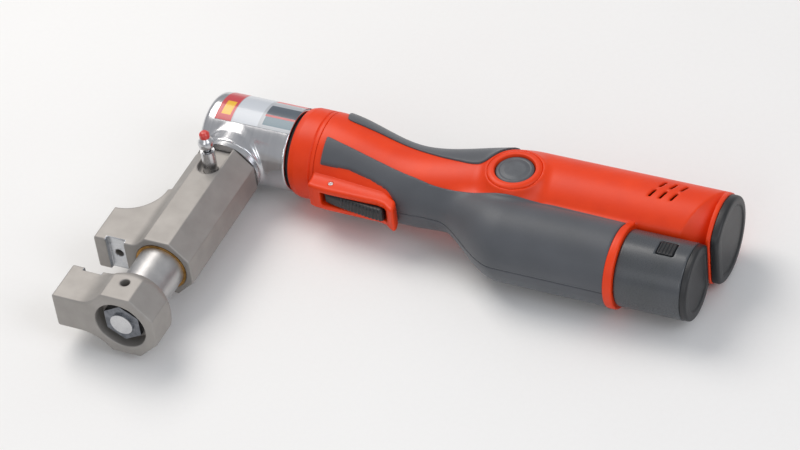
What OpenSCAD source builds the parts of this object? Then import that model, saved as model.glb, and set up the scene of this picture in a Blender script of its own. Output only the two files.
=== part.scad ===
// Battery press tool for sliding sleeve pipe fittings, built as separate pieces.
// Lengths are in millimetres. X runs along the handle towards the battery, Y runs across
// it from the press jaws to the back of the handle, and Z points up from the surface
// that the tool lies on. Sizes are written from the crossing of the handle axis and the
// press axis, and place() then moves that crossing so that the origin is under the middle.

/* [Press head] */
// Radius of the head cylinder
head_r = 25.5; // [24:0.5:28]
// Distance from the press axis to the closed front end of the head
head_front = 22; // [21:0.5:30]
// Distance from the press axis to the rear face of the head
head_rear = 36; // [34:0.5:44]
// Rounding of the closed front end
head_round = 5; // [2:0.5:7]
// Radius of the hydraulic cylinder bored across the head
piston_bore_r = 16; // [14:0.5:17]
// Metal left above the blind end of that bore
bore_roof = 7; // [5:0.5:8]
// Radius of the round boss that carries the press gland
boss_r = 21; // [20:0.5:22.5]
// Distance from the handle axis to the face of that boss
boss_y = 26.5; // [26:0.5:30]
// Radius of the swivel journal that the head turns on
journal_r = 13; // [12:0.5:14]
// Length of journal inside the head
journal_len = 17; // [14:0.5:18]

/* [Press gland and rod] */
// Thickness of the gland flange
gland_flange_t = 3.5; // [3:0.5:6]
// Length of gland plug that closes the cylinder
gland_plug_len = 10; // [8:0.5:11]
// Radius of the gland spigot that the press block turns on
spigot_r = 11.5; // [10.5:0.5:12]
// Length of that spigot
spigot_len = 24; // [20:0.5:28]
// Radius of the piston rod
rod_r = 7; // [6:0.5:8]
// Length of the piston
piston_len = 8; // [6:0.5:9]
// Stroke of the press jaws, from fully open to closed
stroke = 20; // [15:0.5:20.5]

/* [Press block] */
// Width of the octagonal block across its flats
block_af = 39; // [38:0.5:44]
// Distance from the handle axis to the front end of the block
block_front = 117.5; // [114:0.5:120]
// Radius of the guide sleeve behind the yoke
sleeve_r = 14.5; // [13.5:0.5:14.5]
// Length of sleeve inside the block when the jaws are open
sleeve_in = 20; // [18:0.5:22]
// Wall of the bronze guide bush
bush_wall = 1.6; // [1.2:0.1:1.8]
// Length of the guide bush
bush_len = 18; // [14:0.5:19]
// Distance from the handle axis to the floor of the spring chamber
chamber_floor = 60; // [58:0.5:62]
// Reach of both jaw arms from the press axis
arm_reach = 43; // [38:0.5:50]
// Height of both jaw arms
arm_h = 24; // [20:0.5:28]
// Thickness of the fixed jaw arm along the press axis
fixed_arm_t = 27.5; // [24:0.5:30]
// Radius of the hollow behind the fixed arm
arm_fillet_r = 23.5; // [18:0.5:23.5]
// Width of the ground slots that seat the jaw inserts
slot_w = 12; // [8:0.5:12.5]
// Depth of those slots
slot_depth = 3; // [2:0.5:4]
// Distance from the press axis to the middle of those slots
slot_x = 29; // [29:0.5:32]
// Radius of the hole for the screw that holds the fixed jaw
jaw_screw_r = 2.6; // [2:0.1:3]

/* [Yoke] */
// Width of the octagonal yoke hub across its flats
yoke_af = 44; // [42:0.5:48]
// Gap between the jaw arms when the tool is open
jaw_gap = 24; // [22:0.5:34]
// Thickness of the yoke along the press axis
yoke_t = 27.5; // [24:0.5:32]
// Radius of the yoke's neck, where the guide sleeve enters it
neck_r = 16.5; // [16:0.5:19]
// Length of the taper from that neck to the full hub
neck_len = 8; // [4:0.5:9]
// Radius of the round recess in the front of the yoke
recess_r = 16; // [14:0.5:16.5]
// Depth of that recess
recess_depth = 10; // [9:0.5:10.5]
// Width of the rod nut across its flats
nut_af = 22; // [19:0.5:23]
// Thickness of the rod nut
nut_t = 7; // [5:0.5:8]
// Distance from the back of the yoke to its lock screw
lock_screw_in = 13.5; // [12:0.5:14]
// Radius of the lock screw in the top of the yoke
lock_screw_r = 2.75; // [2:0.25:3.5]
// Length of the lock screw
lock_screw_len = 8; // [6:0.5:10]

/* [Index pin] */
// Distance from the handle axis to the index pin
pin_y = 47; // [44:0.5:48]
// Width of the U-shaped pocket around the pin
pocket_w = 14; // [12:0.5:16]
// Depth of that pocket below the top of the block
pocket_depth = 4; // [3:0.5:5]
// Radius of the tip that drops into the gland spigot
pin_tip_r = 2.45; // [2:0.05:2.6]
// Depth that the tip drops into the spigot
pin_engage = 2.5; // [1.5:0.25:3]
// Travel of the pin when it is pulled
pin_pull = 4; // [3.5:0.5:5]
// Radius of the pin's guide barrel
barrel_r = 4.25; // [4:0.25:5]
// Height of the guide barrel above the pocket floor
barrel_h = 15; // [12:0.5:18]
// Radius of the ball knob
knob_r = 4.75; // [4.5:0.25:6]
// Radius of the coloured tip on the knob
knob_tip_r = 3.1; // [2.5:0.1:3.5]
// Height of the knob's coloured tip
knob_tip_h = 4.5; // [3:0.5:6]

/* [Handle] */
// Radius of the front collar
collar_r = 27.5; // [27:0.5:30]
// Distance from the press axis to the front face of the collar
collar_x = 38.3; // [38:0.1:46]
// Length of the collar
collar_len = 17.7; // [14:0.1:20]
// Distance from the press axis to the narrowest part of the grip
waist_x = 115; // [110:1:120]
// Height of the back of the grip above the handle axis at its waist
waist_top = 16; // [15.5:0.5:19]
// Depth of the grip below the handle axis at its waist
waist_bottom = 32; // [30:0.5:36]
// Half of the grip's width at its waist
waist_w = 21.5; // [21:0.5:24]
// Distance from the press axis to where the motor housing is full size
shoulder_x = 185; // [182:1:188]
// Height of the motor housing above the handle axis
rear_top = 31; // [29:0.5:34]
// Depth of the motor housing below the handle axis
rear_bottom = 24; // [23.5:0.5:25]
// Half of the motor housing's width
rear_w = 26; // [25.5:0.5:27.5]
// Distance from the press axis to the rear wall of the motor housing
rear_x = 301; // [296:0.5:306]
// Wall of the plastic housing
wall = 2; // [1.8:0.1:2.1]
// Thickness of the soft grip cover
cover_t = 1.2; // [0.8:0.1:1.5]
// Thickness of the rear bumper
bumper_t = 5; // [3:0.5:7]
// Distance from the press axis to the release button
button_x = 178; // [176:0.5:182]
// Distance from the handle axis down to the release button
button_drop = 4; // [3:0.5:5]
// Radius of the release button
button_r = 11.4; // [9:0.1:11.5]
// Outer radius of the raised ring around the button
bezel_r = 16.4; // [15:0.1:16.5]
// Travel of the release button
button_travel = 2; // [1:0.5:2.5]
// Number of cooling slots in each row
vent_count = 3; // [2:1:4]
// Spacing of the cooling slots
vent_pitch = 6.5; // [6:0.5:7]

/* [Battery] */
// Distance from the handle axis down to the battery axis
battery_drop = 35.5; // [35:0.5:37]
// Outer radius of the battery tube under the grip
tube_r = 23.2; // [23.1:0.1:24]
// Distance from the press axis to the mouth of the battery tube
tube_end = 257; // [252:0.5:262]
// Width of the accent ring at the mouth of the tube
accent_w = 5; // [4:0.5:7]
// Radius of the battery body outside the tube
pack_r = 22.4; // [21.5:0.1:22.6]
// Length of the battery stem inside the tube
stem_len = 68; // [67:0.5:69]
// Wall of the battery shell
pack_wall = 1.1; // [1:0.1:1.1]
// Radius of one battery cell
cell_r = 9.1; // [8.8:0.05:9.15]
// Length of one battery cell
cell_len = 65; // [60:0.5:66]
// Thickness of the battery's end cap
pack_cap_t = 4; // [3:0.5:6]
// Travel that takes the battery clear of its tube
battery_travel = 75; // [65:1:90]
// Travel of each battery latch
latch_travel = 2; // [1:0.5:2.5]

/* [Trigger] */
// Distance from the press axis to the trigger's pivot pin
trigger_x = 70; // [68:0.5:72]
// Distance from the handle axis down to that pin
trigger_drop = 30.5; // [30:0.5:32]
// Radius of the pivot pin
trigger_pin_r = 1.5; // [1.25:0.05:1.75]
// Width of the trigger
trigger_w = 9; // [8:0.5:9.5]
// Distance from the pivot pin to the end of the trigger
trigger_len = 37; // [34:0.5:39]
// Depth of the guard's hooked tip below the handle axis
guard_drop = 41; // [40:0.5:44]
// Thickness of each guard cheek
guard_cheek = 4; // [3:0.5:5]
// Width of bare housing on each side of the guard
guard_land = 5; // [3:0.5:7]

/* [Drive] */
// Radius of the motor can
motor_r = 14.5; // [13.5:0.1:14.6]
// Length of the motor can
motor_len = 57; // [50:0.5:60]
// Distance from the press axis to the front of the gearbox
gearbox_x = 146; // [145:0.5:150]
// Length of the gearbox
gearbox_len = 18; // [16:0.5:20]
// Tooth module of the gears
gear_module = 0.6; // [0.55:0.01:0.62]
// Width of the gears
gear_w = 8; // [6:0.5:9]
// Radius of the motor shaft
motor_shaft_r = 1.5; // [1.2:0.1:2]
// Radius of the carrier's output shaft
output_r = 4; // [3:0.1:4.5]
// Radius of the planet pins
planet_pin_r = 1.5; // [1.2:0.1:1.8]
// Throw of the pump eccentric
throw = 1.5; // [1:0.1:1.6]
// Radius of the eccentric
eccentric_r = 6; // [5:0.1:6.5]
// Radius of the pump plunger
plunger_r = 2.5; // [2:0.1:3]

/* [Hidden] */
$fn = 64;

// Running fit between a shaft and its bore, on the radius
fit = 0.05;
// Gap between pieces that only pass each other
gap = 0.3;
// Gap between the shell and the covers bonded to it
cover_gap = 0.15;
// Height of the accent ring above the covers
accent_rise = 0.4;

// Places along the press axis, all below the handle axis
gland_top = boss_y - gland_plug_len;
flange_y = boss_y + gland_flange_t;
block_back = flange_y + gap;
spigot_end = flange_y + spigot_len;
yoke_back = block_front + jaw_gap;
yoke_front = yoke_back + yoke_t;
sleeve_end = block_front - sleeve_in;
piston_low = gland_top - 0.5;
rod_end = yoke_front - recess_depth + nut_t + 1.5;
nut_y = yoke_front - recess_depth;
block_h = block_af / 2;
chamber_r = sleeve_r + fit + 0.45;
return_coil_r = (rod_r + chamber_r) / 2;
return_wire_r = (chamber_r - rod_r) / 6.4;
bush_r = sleeve_r + fit + bush_wall;
pocket_floor = block_h - pocket_depth;
barrel_top = pocket_floor + barrel_h;
barrel_low = spigot_r + fit + 0.4;
tip_low = spigot_r - pin_engage;
pin_collar_z = barrel_low + 1.6;
knob_z = barrel_top + knob_r + 1;
knob_top = knob_z + knob_r - 0.5 + knob_tip_h;

// Places along the handle axis
collar_end = collar_x + collar_len;
journal_x = head_rear - journal_len;
pump_tail_end = 108;
pump_step_x = collar_end + 2;
pump_tail_r = waist_top - wall - 0.8;
eccentric_x = 97;
plunger_out = eccentric_r + throw + 0.2;
bearing_w = 5;
motor_x = gearbox_x + gearbox_len;
stem_x = tube_end - stem_len;
tube_inner = tube_r - wall;
stem_r = tube_inner - 0.35;
stem_top = battery_drop - 16.5;
pack_top = stem_top;
floor_y = 0.4 - stem_top;
pack_end = rear_x - 4.5;
pack_x = tube_end + gap;
cells_x = stem_x + pack_wall + 0.5;
lock_y = yoke_back + lock_screw_in;
yoke_corner = yoke_af / 2 / cos(22.5) + 0.4;
spot_y = block_front - fixed_arm_t - 1.5;
spot_r = jaw_screw_r + 2.4;
clip_x = journal_x + 5;
clip_w = 1.5;
seal_x = journal_x + 11;
pump_face_r = collar_r - 6.5;
boss_half = plunger_r + 5.5;
plunger_len = 6;
bladder_r = pump_tail_r + 2.2;
cheek_z = trigger_w / 2 + gap;
guard_z = cheek_z + guard_cheek;
plunger_x = eccentric_x + 3;
cavity_r = eccentric_r + throw + 0.5;
plunger_floor = 17.5;
bearing_x = pump_tail_end - bearing_w;
bearing_r = pump_tail_r - 2.8;
button_top = rear_w + 0.9;
label_t = 0.35;
bumper_end = rear_x + bumper_t;
button_y = -button_drop;
dish_r = 5.35 * button_r;
dish_depth = 0.7;

// Numbers of teeth, which give a ratio of 4.5 to 1
sun_teeth = 12;
planet_teeth = 15;
ring_teeth = 42;
planet_orbit = gear_module * (sun_teeth + planet_teeth) / 2;
ring_outer = gear_module * ring_teeth / 2 + 2.6;
bezel_low = ring_outer + gap;
gear_x = gearbox_x + 5.5;

// Origin under the middle of the whole tool
mid_x = (bumper_end - arm_reach) / 2;
mid_y = (rear_top - yoke_front) / 2;
low_z = -collar_r;

module place() {
  translate([-mid_x, -mid_y, -low_z]) children();
}

// Solids turned on the three axes
module along_x(x, r, len) {
  translate([x, 0, 0]) rotate([0, 90, 0]) cylinder(r = r, h = len);
}
module down_y(y, r, len, sides = 64) {
  translate([0, -y, 0]) rotate([90, 0, 0]) rotate([0, 0, 180 / sides]) cylinder(r = r, h = len, $fn = sides);
}
module octagon_y(y, across, len) {
  down_y(y, across / 2 / cos(22.5), len, 8);
}
module tube_x(x, r, bore, len) {
  difference() {
    along_x(x, r, len);
    along_x(x - 1, bore, len + 2);
  }
}

// Coil of round wire, swept along its own path with six sides
function coil_point(r, wire, pitch, turn, side) =
  [(r + wire * cos(side)) * cos(turn), (r + wire * cos(side)) * sin(turn),
   wire * sin(side) + pitch * turn / 360];
module coil(r, wire, len, turns) {
  steps = turns * 16;
  pitch = (len - 2 * wire) / turns;
  sides = 6;
  points = [for (i = [0 : steps]) for (j = [0 : sides - 1])
    coil_point(r, wire, pitch, 360 * i / 16, 360 * j / sides)];
  walls = [for (i = [0 : steps - 1]) for (j = [0 : sides - 1])
    let (a = i * sides + j, b = i * sides + (j + 1) % sides, c = b + sides, d = a + sides)
    each [[a, d, c], [a, c, b]]];
  front = [for (j = [1 : sides - 2]) [0, j, j + 1]];
  k = steps * sides;
  back = [for (j = [1 : sides - 2]) [k, k + j + 1, k + j]];
  translate([0, 0, wire]) polyhedron(points, concat(walls, front, back));
}

// Outline of the housing, blended between the collar, the waist and the motor housing
function ease(t) = let (u = min(1, max(0, t))) u * u * (3 - 2 * u);
function mix(a, b, t) = a + (b - a) * ease(t);
function along(x, front, middle, rear) =
  x < waist_x ? mix(front, middle, (x - collar_end) / (waist_x - collar_end))
              : mix(middle, rear, (x - waist_x) / (shoulder_x - waist_x));
function top_y(x) = along(x, collar_r, waist_top, rear_top);
function bottom_y(x) = -along(x, collar_r, waist_bottom, rear_bottom);
function half_w(x) = along(x, collar_r, waist_w, rear_w);

// The battery tube swells out of the underside of the grip
bulge_x = 132;
function tube_radius(x) = mix(12, tube_r, (x - bulge_x) / (shoulder_x - bulge_x));
function tube_y(x) = -mix(17.5, battery_drop, (x - bulge_x) / (shoulder_x - bulge_x));

// Point inside both outlines, from which the surface is measured
function heart_y(x) = along(x, 0, -8, -(rear_bottom + battery_drop - tube_r) / 2);

// Distance from the heart to an ellipse, at an angle from the top of the handle
function reach(x, a, cy, h, w) =
  let (d = heart_y(x) - cy, p = pow(cos(a) / h, 2) + pow(sin(a) / w, 2),
       q = 2 * d * cos(a) / (h * h), s = d * d / (h * h) - 1)
  s >= 0 ? 0 : (-q + sqrt(q * q - 4 * p * s)) / (2 * p);
function upper_reach(x, a, grow) =
  reach(x, a, (top_y(x) + bottom_y(x)) / 2, (top_y(x) - bottom_y(x)) / 2 + grow, half_w(x) + grow);
function lower_reach(x, a, grow) =
  x < bulge_x ? 0 : reach(x, a, tube_y(x), tube_radius(x) + grow, tube_radius(x) + grow);
function skin_point(x, a, grow) =
  let (r = max(upper_reach(x, a, grow), lower_reach(x, a, grow)))
  [x, heart_y(x) + r * cos(a), r * sin(a)];

// Closed solid through a row of rings. Each ring runs out along one face of a wall and
// back along the other, so the two ends are closed with strips across the wall.
module loft(rings) {
  n = len(rings[0]);
  m = len(rings);
  points = [for (ring = rings) each ring];
  sides = [for (i = [0 : m - 2]) for (j = [0 : n - 1])
    let (a = i * n + j, b = i * n + (j + 1) % n, c = b + n, d = a + n)
    each (j < n / 2 ? [[a, d, c], [a, c, b]] : [[a, d, b], [b, d, c]])];
  ends = [for (j = [0 : n / 2 - 2])
    let (a = j, b = j + 1, c = n - 2 - j, d = n - 1 - j, k = (m - 1) * n)
    each [[a, b, c], [a, c, d], [k + a, k + c, k + b], [k + a, k + d, k + c]]];
  polyhedron(points, concat(sides, ends));
}

// Part of the skin at a list of angles, which is a function of x
module skin(stations, angles, inner, outer) {
  loft([for (x = stations)
    let (list = angles(x), last = len(list) - 1)
    concat([for (i = [0 : last]) skin_point(x, list[i], outer)],
           [for (i = [last : -1 : 0]) skin_point(x, list[i], inner)])]);
}

// Places along the handle where the skin is measured, shared by the shell and its covers
cover_x = collar_end + 4;
guard_end = trigger_x + trigger_len + 8;
accent_x = tube_end - accent_w;
belly_stations = concat([for (i = [0 : 14]) cover_x + (shoulder_x - cover_x) * i / 14], [accent_x]);
back_stations = [for (x = belly_stations) if (x < 161) x];
shell_stations = concat([collar_end], belly_stations, [tube_end]);

// Edges of the soft covers, as angles from the back of the grip, and the angles at which
// shell and covers are both measured, so that their faces lie along each other
function stripe_low(x) = x < 140 ? mix(112, 127, (x - cover_x) / (140 - cover_x))
                                 : mix(127, 91, (x - 140) / (shoulder_x - 140));
function stripe_high(x) = x < 110 ? mix(70, 62, (x - cover_x) / 50) : mix(62, 72, (x - 110) / 50);
function spread(a, b, n) = [for (i = [0 : n - 1]) a + (b - a) * i / n];
function back_angles(x) = concat(spread(0, stripe_high(x), 8), [stripe_high(x)]);
function belly_angles(x) = concat(spread(stripe_low(x), 180, 10), [180]);
function shell_angles(x) =
  concat(spread(0, stripe_high(x), 8), spread(stripe_high(x), stripe_low(x), 6), belly_angles(x));

// Rear of the motor housing, flat where the battery slides below it
module rear_section(x, len, grow) {
  h = (rear_top + rear_bottom) / 2 + grow;
  w = rear_w + grow;
  mid = (rear_top - rear_bottom) / 2;
  translate([x, 0, 0]) rotate([90, 0, 90]) linear_extrude(len)
    polygon([for (i = [0 : 47]) [max(mid + h * cos(7.5 * i), floor_y - grow), w * sin(7.5 * i)]]);
}

// Half width of the motor housing at one height
function half_w_at(y) = side_z(shoulder_x, y);

module vents() {
  for (row = [0, 1]) for (i = [0 : vent_count - 1])
    translate([tube_end + 3 + i * vent_pitch + row * 3.2, 2 + row * 9, 0])
      rotate([0, 0, 70]) translate([-3.5, -0.85, 0]) cube([7, 1.7, rear_w + 5]);
}

// Screws that hold the two halves together, with a boss for each
screw_spots = [[66, 20], [121, 9], [126, -24], [236, 23], [284, 23]];
screw_r = 1.3;
screw_head_r = 2.5;
screw_boss_r = 3.2;
function side_z(x, y) =
  let (c = (top_y(x) + bottom_y(x)) / 2, h = (top_y(x) - bottom_y(x)) / 2)
  half_w(x) * sqrt(1 - pow((y - c) / h, 2));
module at_screws() {
  for (spot = screw_spots) translate([spot[0], spot[1], 0]) {
    $side = min(side_z(spot[0], spot[1] + screw_boss_r), side_z(spot[0], spot[1] - screw_boss_r));
    children();
  }
}

trigger_slot = [trigger_x - 5.5, trigger_x + trigger_len + 3];

module half_housing() {
  difference() {
    union() {
      skin(shell_stations, function (x) shell_angles(x), -wall, 0);
      rear_cover();
      at_screws() cylinder(r = screw_boss_r, h = $side - wall / 2, $fn = 32);
    }
    translate([trigger_slot[0], -45, -1]) cube([trigger_slot[1] - trigger_slot[0], 24, cheek_z + 1]);
    vents();
    at_screws() translate([0, 0, -1]) cylinder(r = screw_r + fit, h = 9, $fn = 24);
  }
}
module rear_cover() {
  intersection() {
    union() {
      difference() {
        rear_section(tube_end, rear_x - tube_end, 0);
        rear_section(tube_end - 1, rear_x - tube_end - wall + 1, -wall);
      }
      // Floor between the motor space and the battery
      translate([shoulder_x, floor_y, 0]) cube([tube_end - shoulder_x + 1, wall, half_w_at(floor_y) - wall / 2]);
    }
    translate([shoulder_x - 1, -60, 0]) cube([200, 120, 60]);
  }
}

module housing_left() {
  color("orangered") place() difference() {
    half_housing();
    translate([button_x, button_y, 8]) cylinder(r = bezel_r + 0.1, h = 40);
  }
}
module housing_right() {
  color("orangered") place() mirror([0, 0, 1]) difference() {
    half_housing();
    at_screws() cylinder(r = screw_r + fit, h = 60, $fn = 24);
    at_screws() translate([0, 0, $side - 3]) cylinder(r = screw_head_r + gap, h = 20, $fn = 24);
  }
}
module housing_screws() {
  color("dimgray") place() mirror([0, 0, 1]) at_screws() {
    translate([0, 0, $side - 3]) cylinder(r = screw_head_r, h = 1.8, $fn = 32);
    translate([0, 0, -6]) cylinder(r = screw_r, h = $side + 3, $fn = 24);
  }
}

module half_cover() {
  difference() {
    skin(belly_stations, function (x) belly_angles(x), cover_gap, cover_t);
    translate([collar_end, -guard_drop - 10, -1])
      cube([guard_end + gap - collar_end, guard_drop - 5, guard_z + guard_land + 1]);
  }
  skin(back_stations, function (x) back_angles(x), cover_gap, cover_t);
}
module grip_left() {
  color("dimgray") place() difference() {
    half_cover();
    translate([button_x, button_y, 0]) cylinder(r = bezel_r + 0.1, h = 60);
  }
}
module grip_right() { color("dimgray") place() mirror([0, 0, 1]) half_cover(); }
module accent_ring() {
  color("orangered") place() for (side = [0, 1]) mirror([0, 0, side])
    skin([accent_x, tube_end], function (x) belly_angles(x), cover_gap, cover_t + accent_rise);
}

module ring_profile(x, r, bore, len, round) {
  translate([x, 0, 0]) rotate([0, 90, 0]) rotate_extrude() union() {
    translate([bore, 0]) square([r - round - bore, len]);
    translate([bore, round]) square([r - bore, len - round]);
    translate([r - round, round]) circle(round);
  }
}
module head_housing() {
  color("gainsboro") place() difference() {
    union() {
      ring_profile(-head_front, head_r, 0, head_front + head_rear, head_round);
      down_y(head_r - 8, boss_r, boss_y - head_r + 8);
    }
    down_y(bore_roof - head_r, piston_bore_r, head_r - bore_roof + boss_y + 1);
    along_x(journal_x, journal_r + fit, journal_len + 1);
    along_x(clip_x - gap, journal_r + 1.5, clip_w + 2 * gap);
    translate([0, 6, 0]) along_x(piston_bore_r - 3, 1.5, 8);
  }
}
module head_label() {
  color("lightgray") place() intersection() {
    tube_x(-head_front + head_round + 3, head_r + label_t, head_r + 0.03, head_front + head_rear - head_round - 5);
    translate([-40, 0, 0]) rotate([90, 0, 90]) linear_extrude(90)
      polygon([[0, 0], [40, -15], [40, 40], [0, 45], [-18, 40]]);
  }
}
module press_gland() {
  color("silver") place() difference() {
    union() {
      down_y(gland_top, piston_bore_r - fit, gland_plug_len + 1);
      down_y(boss_y, boss_r - 0.5, gland_flange_t);
      down_y(flange_y - 1, spigot_r, spigot_len + 1);
    }
    down_y(gland_top - 1, rod_r + fit, gland_plug_len + gland_flange_t + spigot_len + 2);
    down_y(gland_top + 3, rod_r + 2.5, 3);
    difference() {
      down_y(pin_y - pin_tip_r - 0.1, spigot_r + 1, 2 * pin_tip_r + 0.2);
      down_y(pin_y - pin_tip_r - 1, tip_low - gap, 2 * pin_tip_r + 2);
    }
  }
}
module rod_seal() {
  color("black") place() difference() {
    down_y(gland_top + 3.1, rod_r + 2.4, 2.8);
    down_y(gland_top, rod_r + fit, 10);
  }
}

// Press block with its fixed jaw arm
module arm_outline() {
  difference() {
    translate([-arm_reach, -block_front]) square([arm_reach - block_h + 5, fixed_arm_t + arm_fillet_r]);
    translate([-block_h - arm_fillet_r, fixed_arm_t + arm_fillet_r - block_front]) circle(arm_fillet_r);
    translate([-arm_reach - 1, fixed_arm_t - block_front])
      square([arm_reach + 1 - block_h - arm_fillet_r, arm_fillet_r + 1]);
  }
}
module jaw_slot(y) {
  translate([-slot_x - slot_w / 2, -y - slot_depth - 1, -arm_h]) cube([slot_w, slot_depth + 1, 2 * arm_h]);
}
module press_block() {
  color("darkgray") place() difference() {
    union() {
      octagon_y(block_back, block_af, block_front - block_back);
      translate([0, 0, -arm_h / 2]) linear_extrude(arm_h) arm_outline();
    }
    down_y(block_back - 1, spigot_r + fit, spigot_end + gap - block_back + 1);
    down_y(block_back, rod_r + 0.5, block_front);
    down_y(chamber_floor, chamber_r, block_front);
    down_y(block_front - bush_len, bush_r, bush_len + 1);
    translate([-pocket_w / 2, -pin_y - 1, pocket_floor]) cube([pocket_w, 20, 20]);
    translate([0, -pin_y - 1, pocket_floor]) cylinder(r = pocket_w / 2, h = 20);
    translate([0, -pin_y, 0]) cylinder(r = barrel_r, h = block_h + 1);
    jaw_slot(block_front - slot_depth);
    translate([-slot_x, 0, 0]) {
      down_y(spot_y - arm_fillet_r, spot_r, arm_fillet_r);
      down_y(spot_y - 1, jaw_screw_r, fixed_arm_t + 2);
    }
  }
}
module guide_bush() {
  color("peru") place() difference() {
    down_y(block_front - bush_len, bush_r - 0.02, bush_len);
    down_y(block_front - bush_len - 1, sleeve_r + fit, bush_len + 2);
  }
}
module return_spring() {
  color("slategray") place() translate([0, -chamber_floor - 0.2, 0]) rotate([90, 0, 0])
    coil(return_coil_r, return_wire_r, sleeve_end - chamber_floor - 0.4, 5);
}
module index_barrel() {
  color("silver") place() translate([0, -pin_y, 0]) difference() {
    translate([0, 0, barrel_low]) cylinder(r = barrel_r - 0.02, h = barrel_top - barrel_low);
    cylinder(r = pin_tip_r + fit, h = 60, $fn = 32);
    translate([0, 0, pin_collar_z - gap]) cylinder(r = pin_tip_r + 0.8, h = barrel_top - 2 - pin_collar_z);
  }
}
module index_pin() {
  color("silver") place() translate([0, -pin_y, 0]) {
    translate([0, 0, tip_low]) cylinder(r = pin_tip_r, h = pin_collar_z - tip_low);
    translate([0, 0, pin_collar_z]) cylinder(r = pin_tip_r + 0.75, h = 1.5);
    translate([0, 0, pin_collar_z + 1.5]) cylinder(r = pin_tip_r - 0.65, h = knob_z - pin_collar_z);
  }
}
module pin_spring() {
  color("slategray") place() translate([0, -pin_y, pin_collar_z + 1.6])
    coil(pin_tip_r + 0.08, 0.25, barrel_top - pin_collar_z - 4, 8);
}
module pin_knob() {
  color("silver") place() translate([0, -pin_y, 0]) difference() {
    union() {
      translate([0, 0, knob_z]) sphere(knob_r);
      translate([0, 0, knob_z]) cylinder(r = knob_tip_r, h = knob_top - knob_z);
    }
    translate([0, 0, knob_z - knob_r - 1]) cylinder(r = pin_tip_r - 0.64, h = knob_r + 2.55);
  }
}

// Pieces that move with the press rod
rod_top = piston_low - piston_len + 2;
module piston_rod() {
  color("silver") place() down_y(rod_top, rod_r, rod_end - rod_top);
}
module piston() {
  color("gray") place() difference() {
    down_y(piston_low - piston_len, piston_bore_r - fit, piston_len);
    down_y(rod_top, rod_r + 0.02, piston_len);
    difference() {
      down_y(piston_low - piston_len / 2 - 1.5, piston_bore_r + 1, 3);
      down_y(piston_low - piston_len / 2 - 2, piston_bore_r - 2.5, 4);
    }
  }
}
module piston_seal() {
  color("black") place() difference() {
    down_y(piston_low - piston_len / 2 - 1.4, piston_bore_r - fit / 2, 2.8);
    down_y(piston_low - piston_len / 2 - 3, piston_bore_r - 2.45, 6);
  }
}
module guide_sleeve() {
  color("silver") place() difference() {
    down_y(sleeve_end, sleeve_r, yoke_back - sleeve_end);
    down_y(sleeve_end - 1, rod_r + 0.02, yoke_back - sleeve_end + 2);
  }
}
module yoke() {
  color("darkgray") place() difference() {
    union() {
      intersection() {
        octagon_y(yoke_back, yoke_af, yoke_t);
        translate([0, -yoke_back, 0]) rotate([90, 0, 0]) rotate_extrude()
          polygon([[0, 0], [neck_r, 0], [yoke_corner, neck_len], [yoke_corner, yoke_t], [0, yoke_t]]);
      }
      translate([-arm_reach, -yoke_front, -arm_h / 2]) cube([arm_reach - yoke_af / 2 + 6, yoke_t, arm_h]);
    }
    down_y(yoke_back - 1, rod_r + 0.02, yoke_t + 2);
    down_y(nut_y, recess_r, recess_depth + 1);
    translate([0, -lock_y, 0]) cylinder(r = lock_screw_r + 0.02, h = yoke_af, $fn = 32);
    jaw_slot(yoke_back - 1);
  }
}
module lock_screw() {
  color("dimgray") place() translate([0, -lock_y, rod_r + 0.1]) difference() {
    cylinder(r = lock_screw_r, h = lock_screw_len, $fn = 32);
    translate([0, 0, lock_screw_len - 2.5]) cylinder(r = lock_screw_r / 2, h = 3, $fn = 6);
  }
}
module rod_nut() {
  color("silver") place() difference() {
    down_y(nut_y, nut_af / 2 / cos(30), nut_t, 6);
    down_y(nut_y - 1, rod_r + 0.02, nut_t + 2);
  }
}

// Hydraulic pump in the front of the handle
module pump_body() {
  color("silver") place() difference() {
    union() {
      along_x(journal_x + gap, journal_r, collar_x - journal_x);
      along_x(collar_x, pump_face_r, pump_step_x - collar_x);
      along_x(pump_step_x, pump_tail_r, pump_tail_end - pump_step_x);
      translate([plunger_x - boss_half, -plunger_floor - 1.5, -boss_half])
        cube([2 * boss_half, plunger_floor + 1.5, 2 * boss_half]);
    }
    tube_x(clip_x - 0.1, journal_r + 1, journal_r - 1.5, clip_w + 0.2);
    tube_x(seal_x - 0.1, journal_r + 1, journal_r - 2, 2.7);
    along_x(eccentric_x - 3, cavity_r, 40);
    along_x(bearing_x, bearing_r, 40);
    translate([plunger_x, 0, 0]) down_y(0, plunger_r + fit, plunger_floor);
    along_x(journal_x - 1, 1.5, 50);
  }
}
module swivel_clip() {
  color("gray") place() tube_x(clip_x, journal_r + 1.2, journal_r - 1.48, clip_w);
}
module swivel_seal() {
  color("black") place() tube_x(seal_x, journal_r + fit / 2, journal_r - 1.98, 2.5);
}
module dust_ring() {
  color("black") place() tube_x(head_rear + gap, head_r - 2, journal_r + fit, collar_x - head_rear - gap);
}
module pump_plunger() {
  color("silver") place() translate([plunger_x, 0, 0]) down_y(plunger_out, plunger_r, plunger_len);
}
module plunger_spring() {
  color("slategray") place() translate([plunger_x, -plunger_out - plunger_len - 0.1, 0]) rotate([90, 0, 0])
    coil(plunger_r - 0.6, 0.3, plunger_floor - plunger_out - plunger_len - 0.2, 3);
}
module oil_bladder() {
  color("black") place() tube_x(pump_step_x + 4, bladder_r, pump_tail_r + 0.1, plunger_x - boss_half - pump_step_x - 6);
}
module front_bearing() {
  color("silver") place() tube_x(bearing_x, bearing_r - 0.02, output_r + fit, bearing_w);
}

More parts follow.
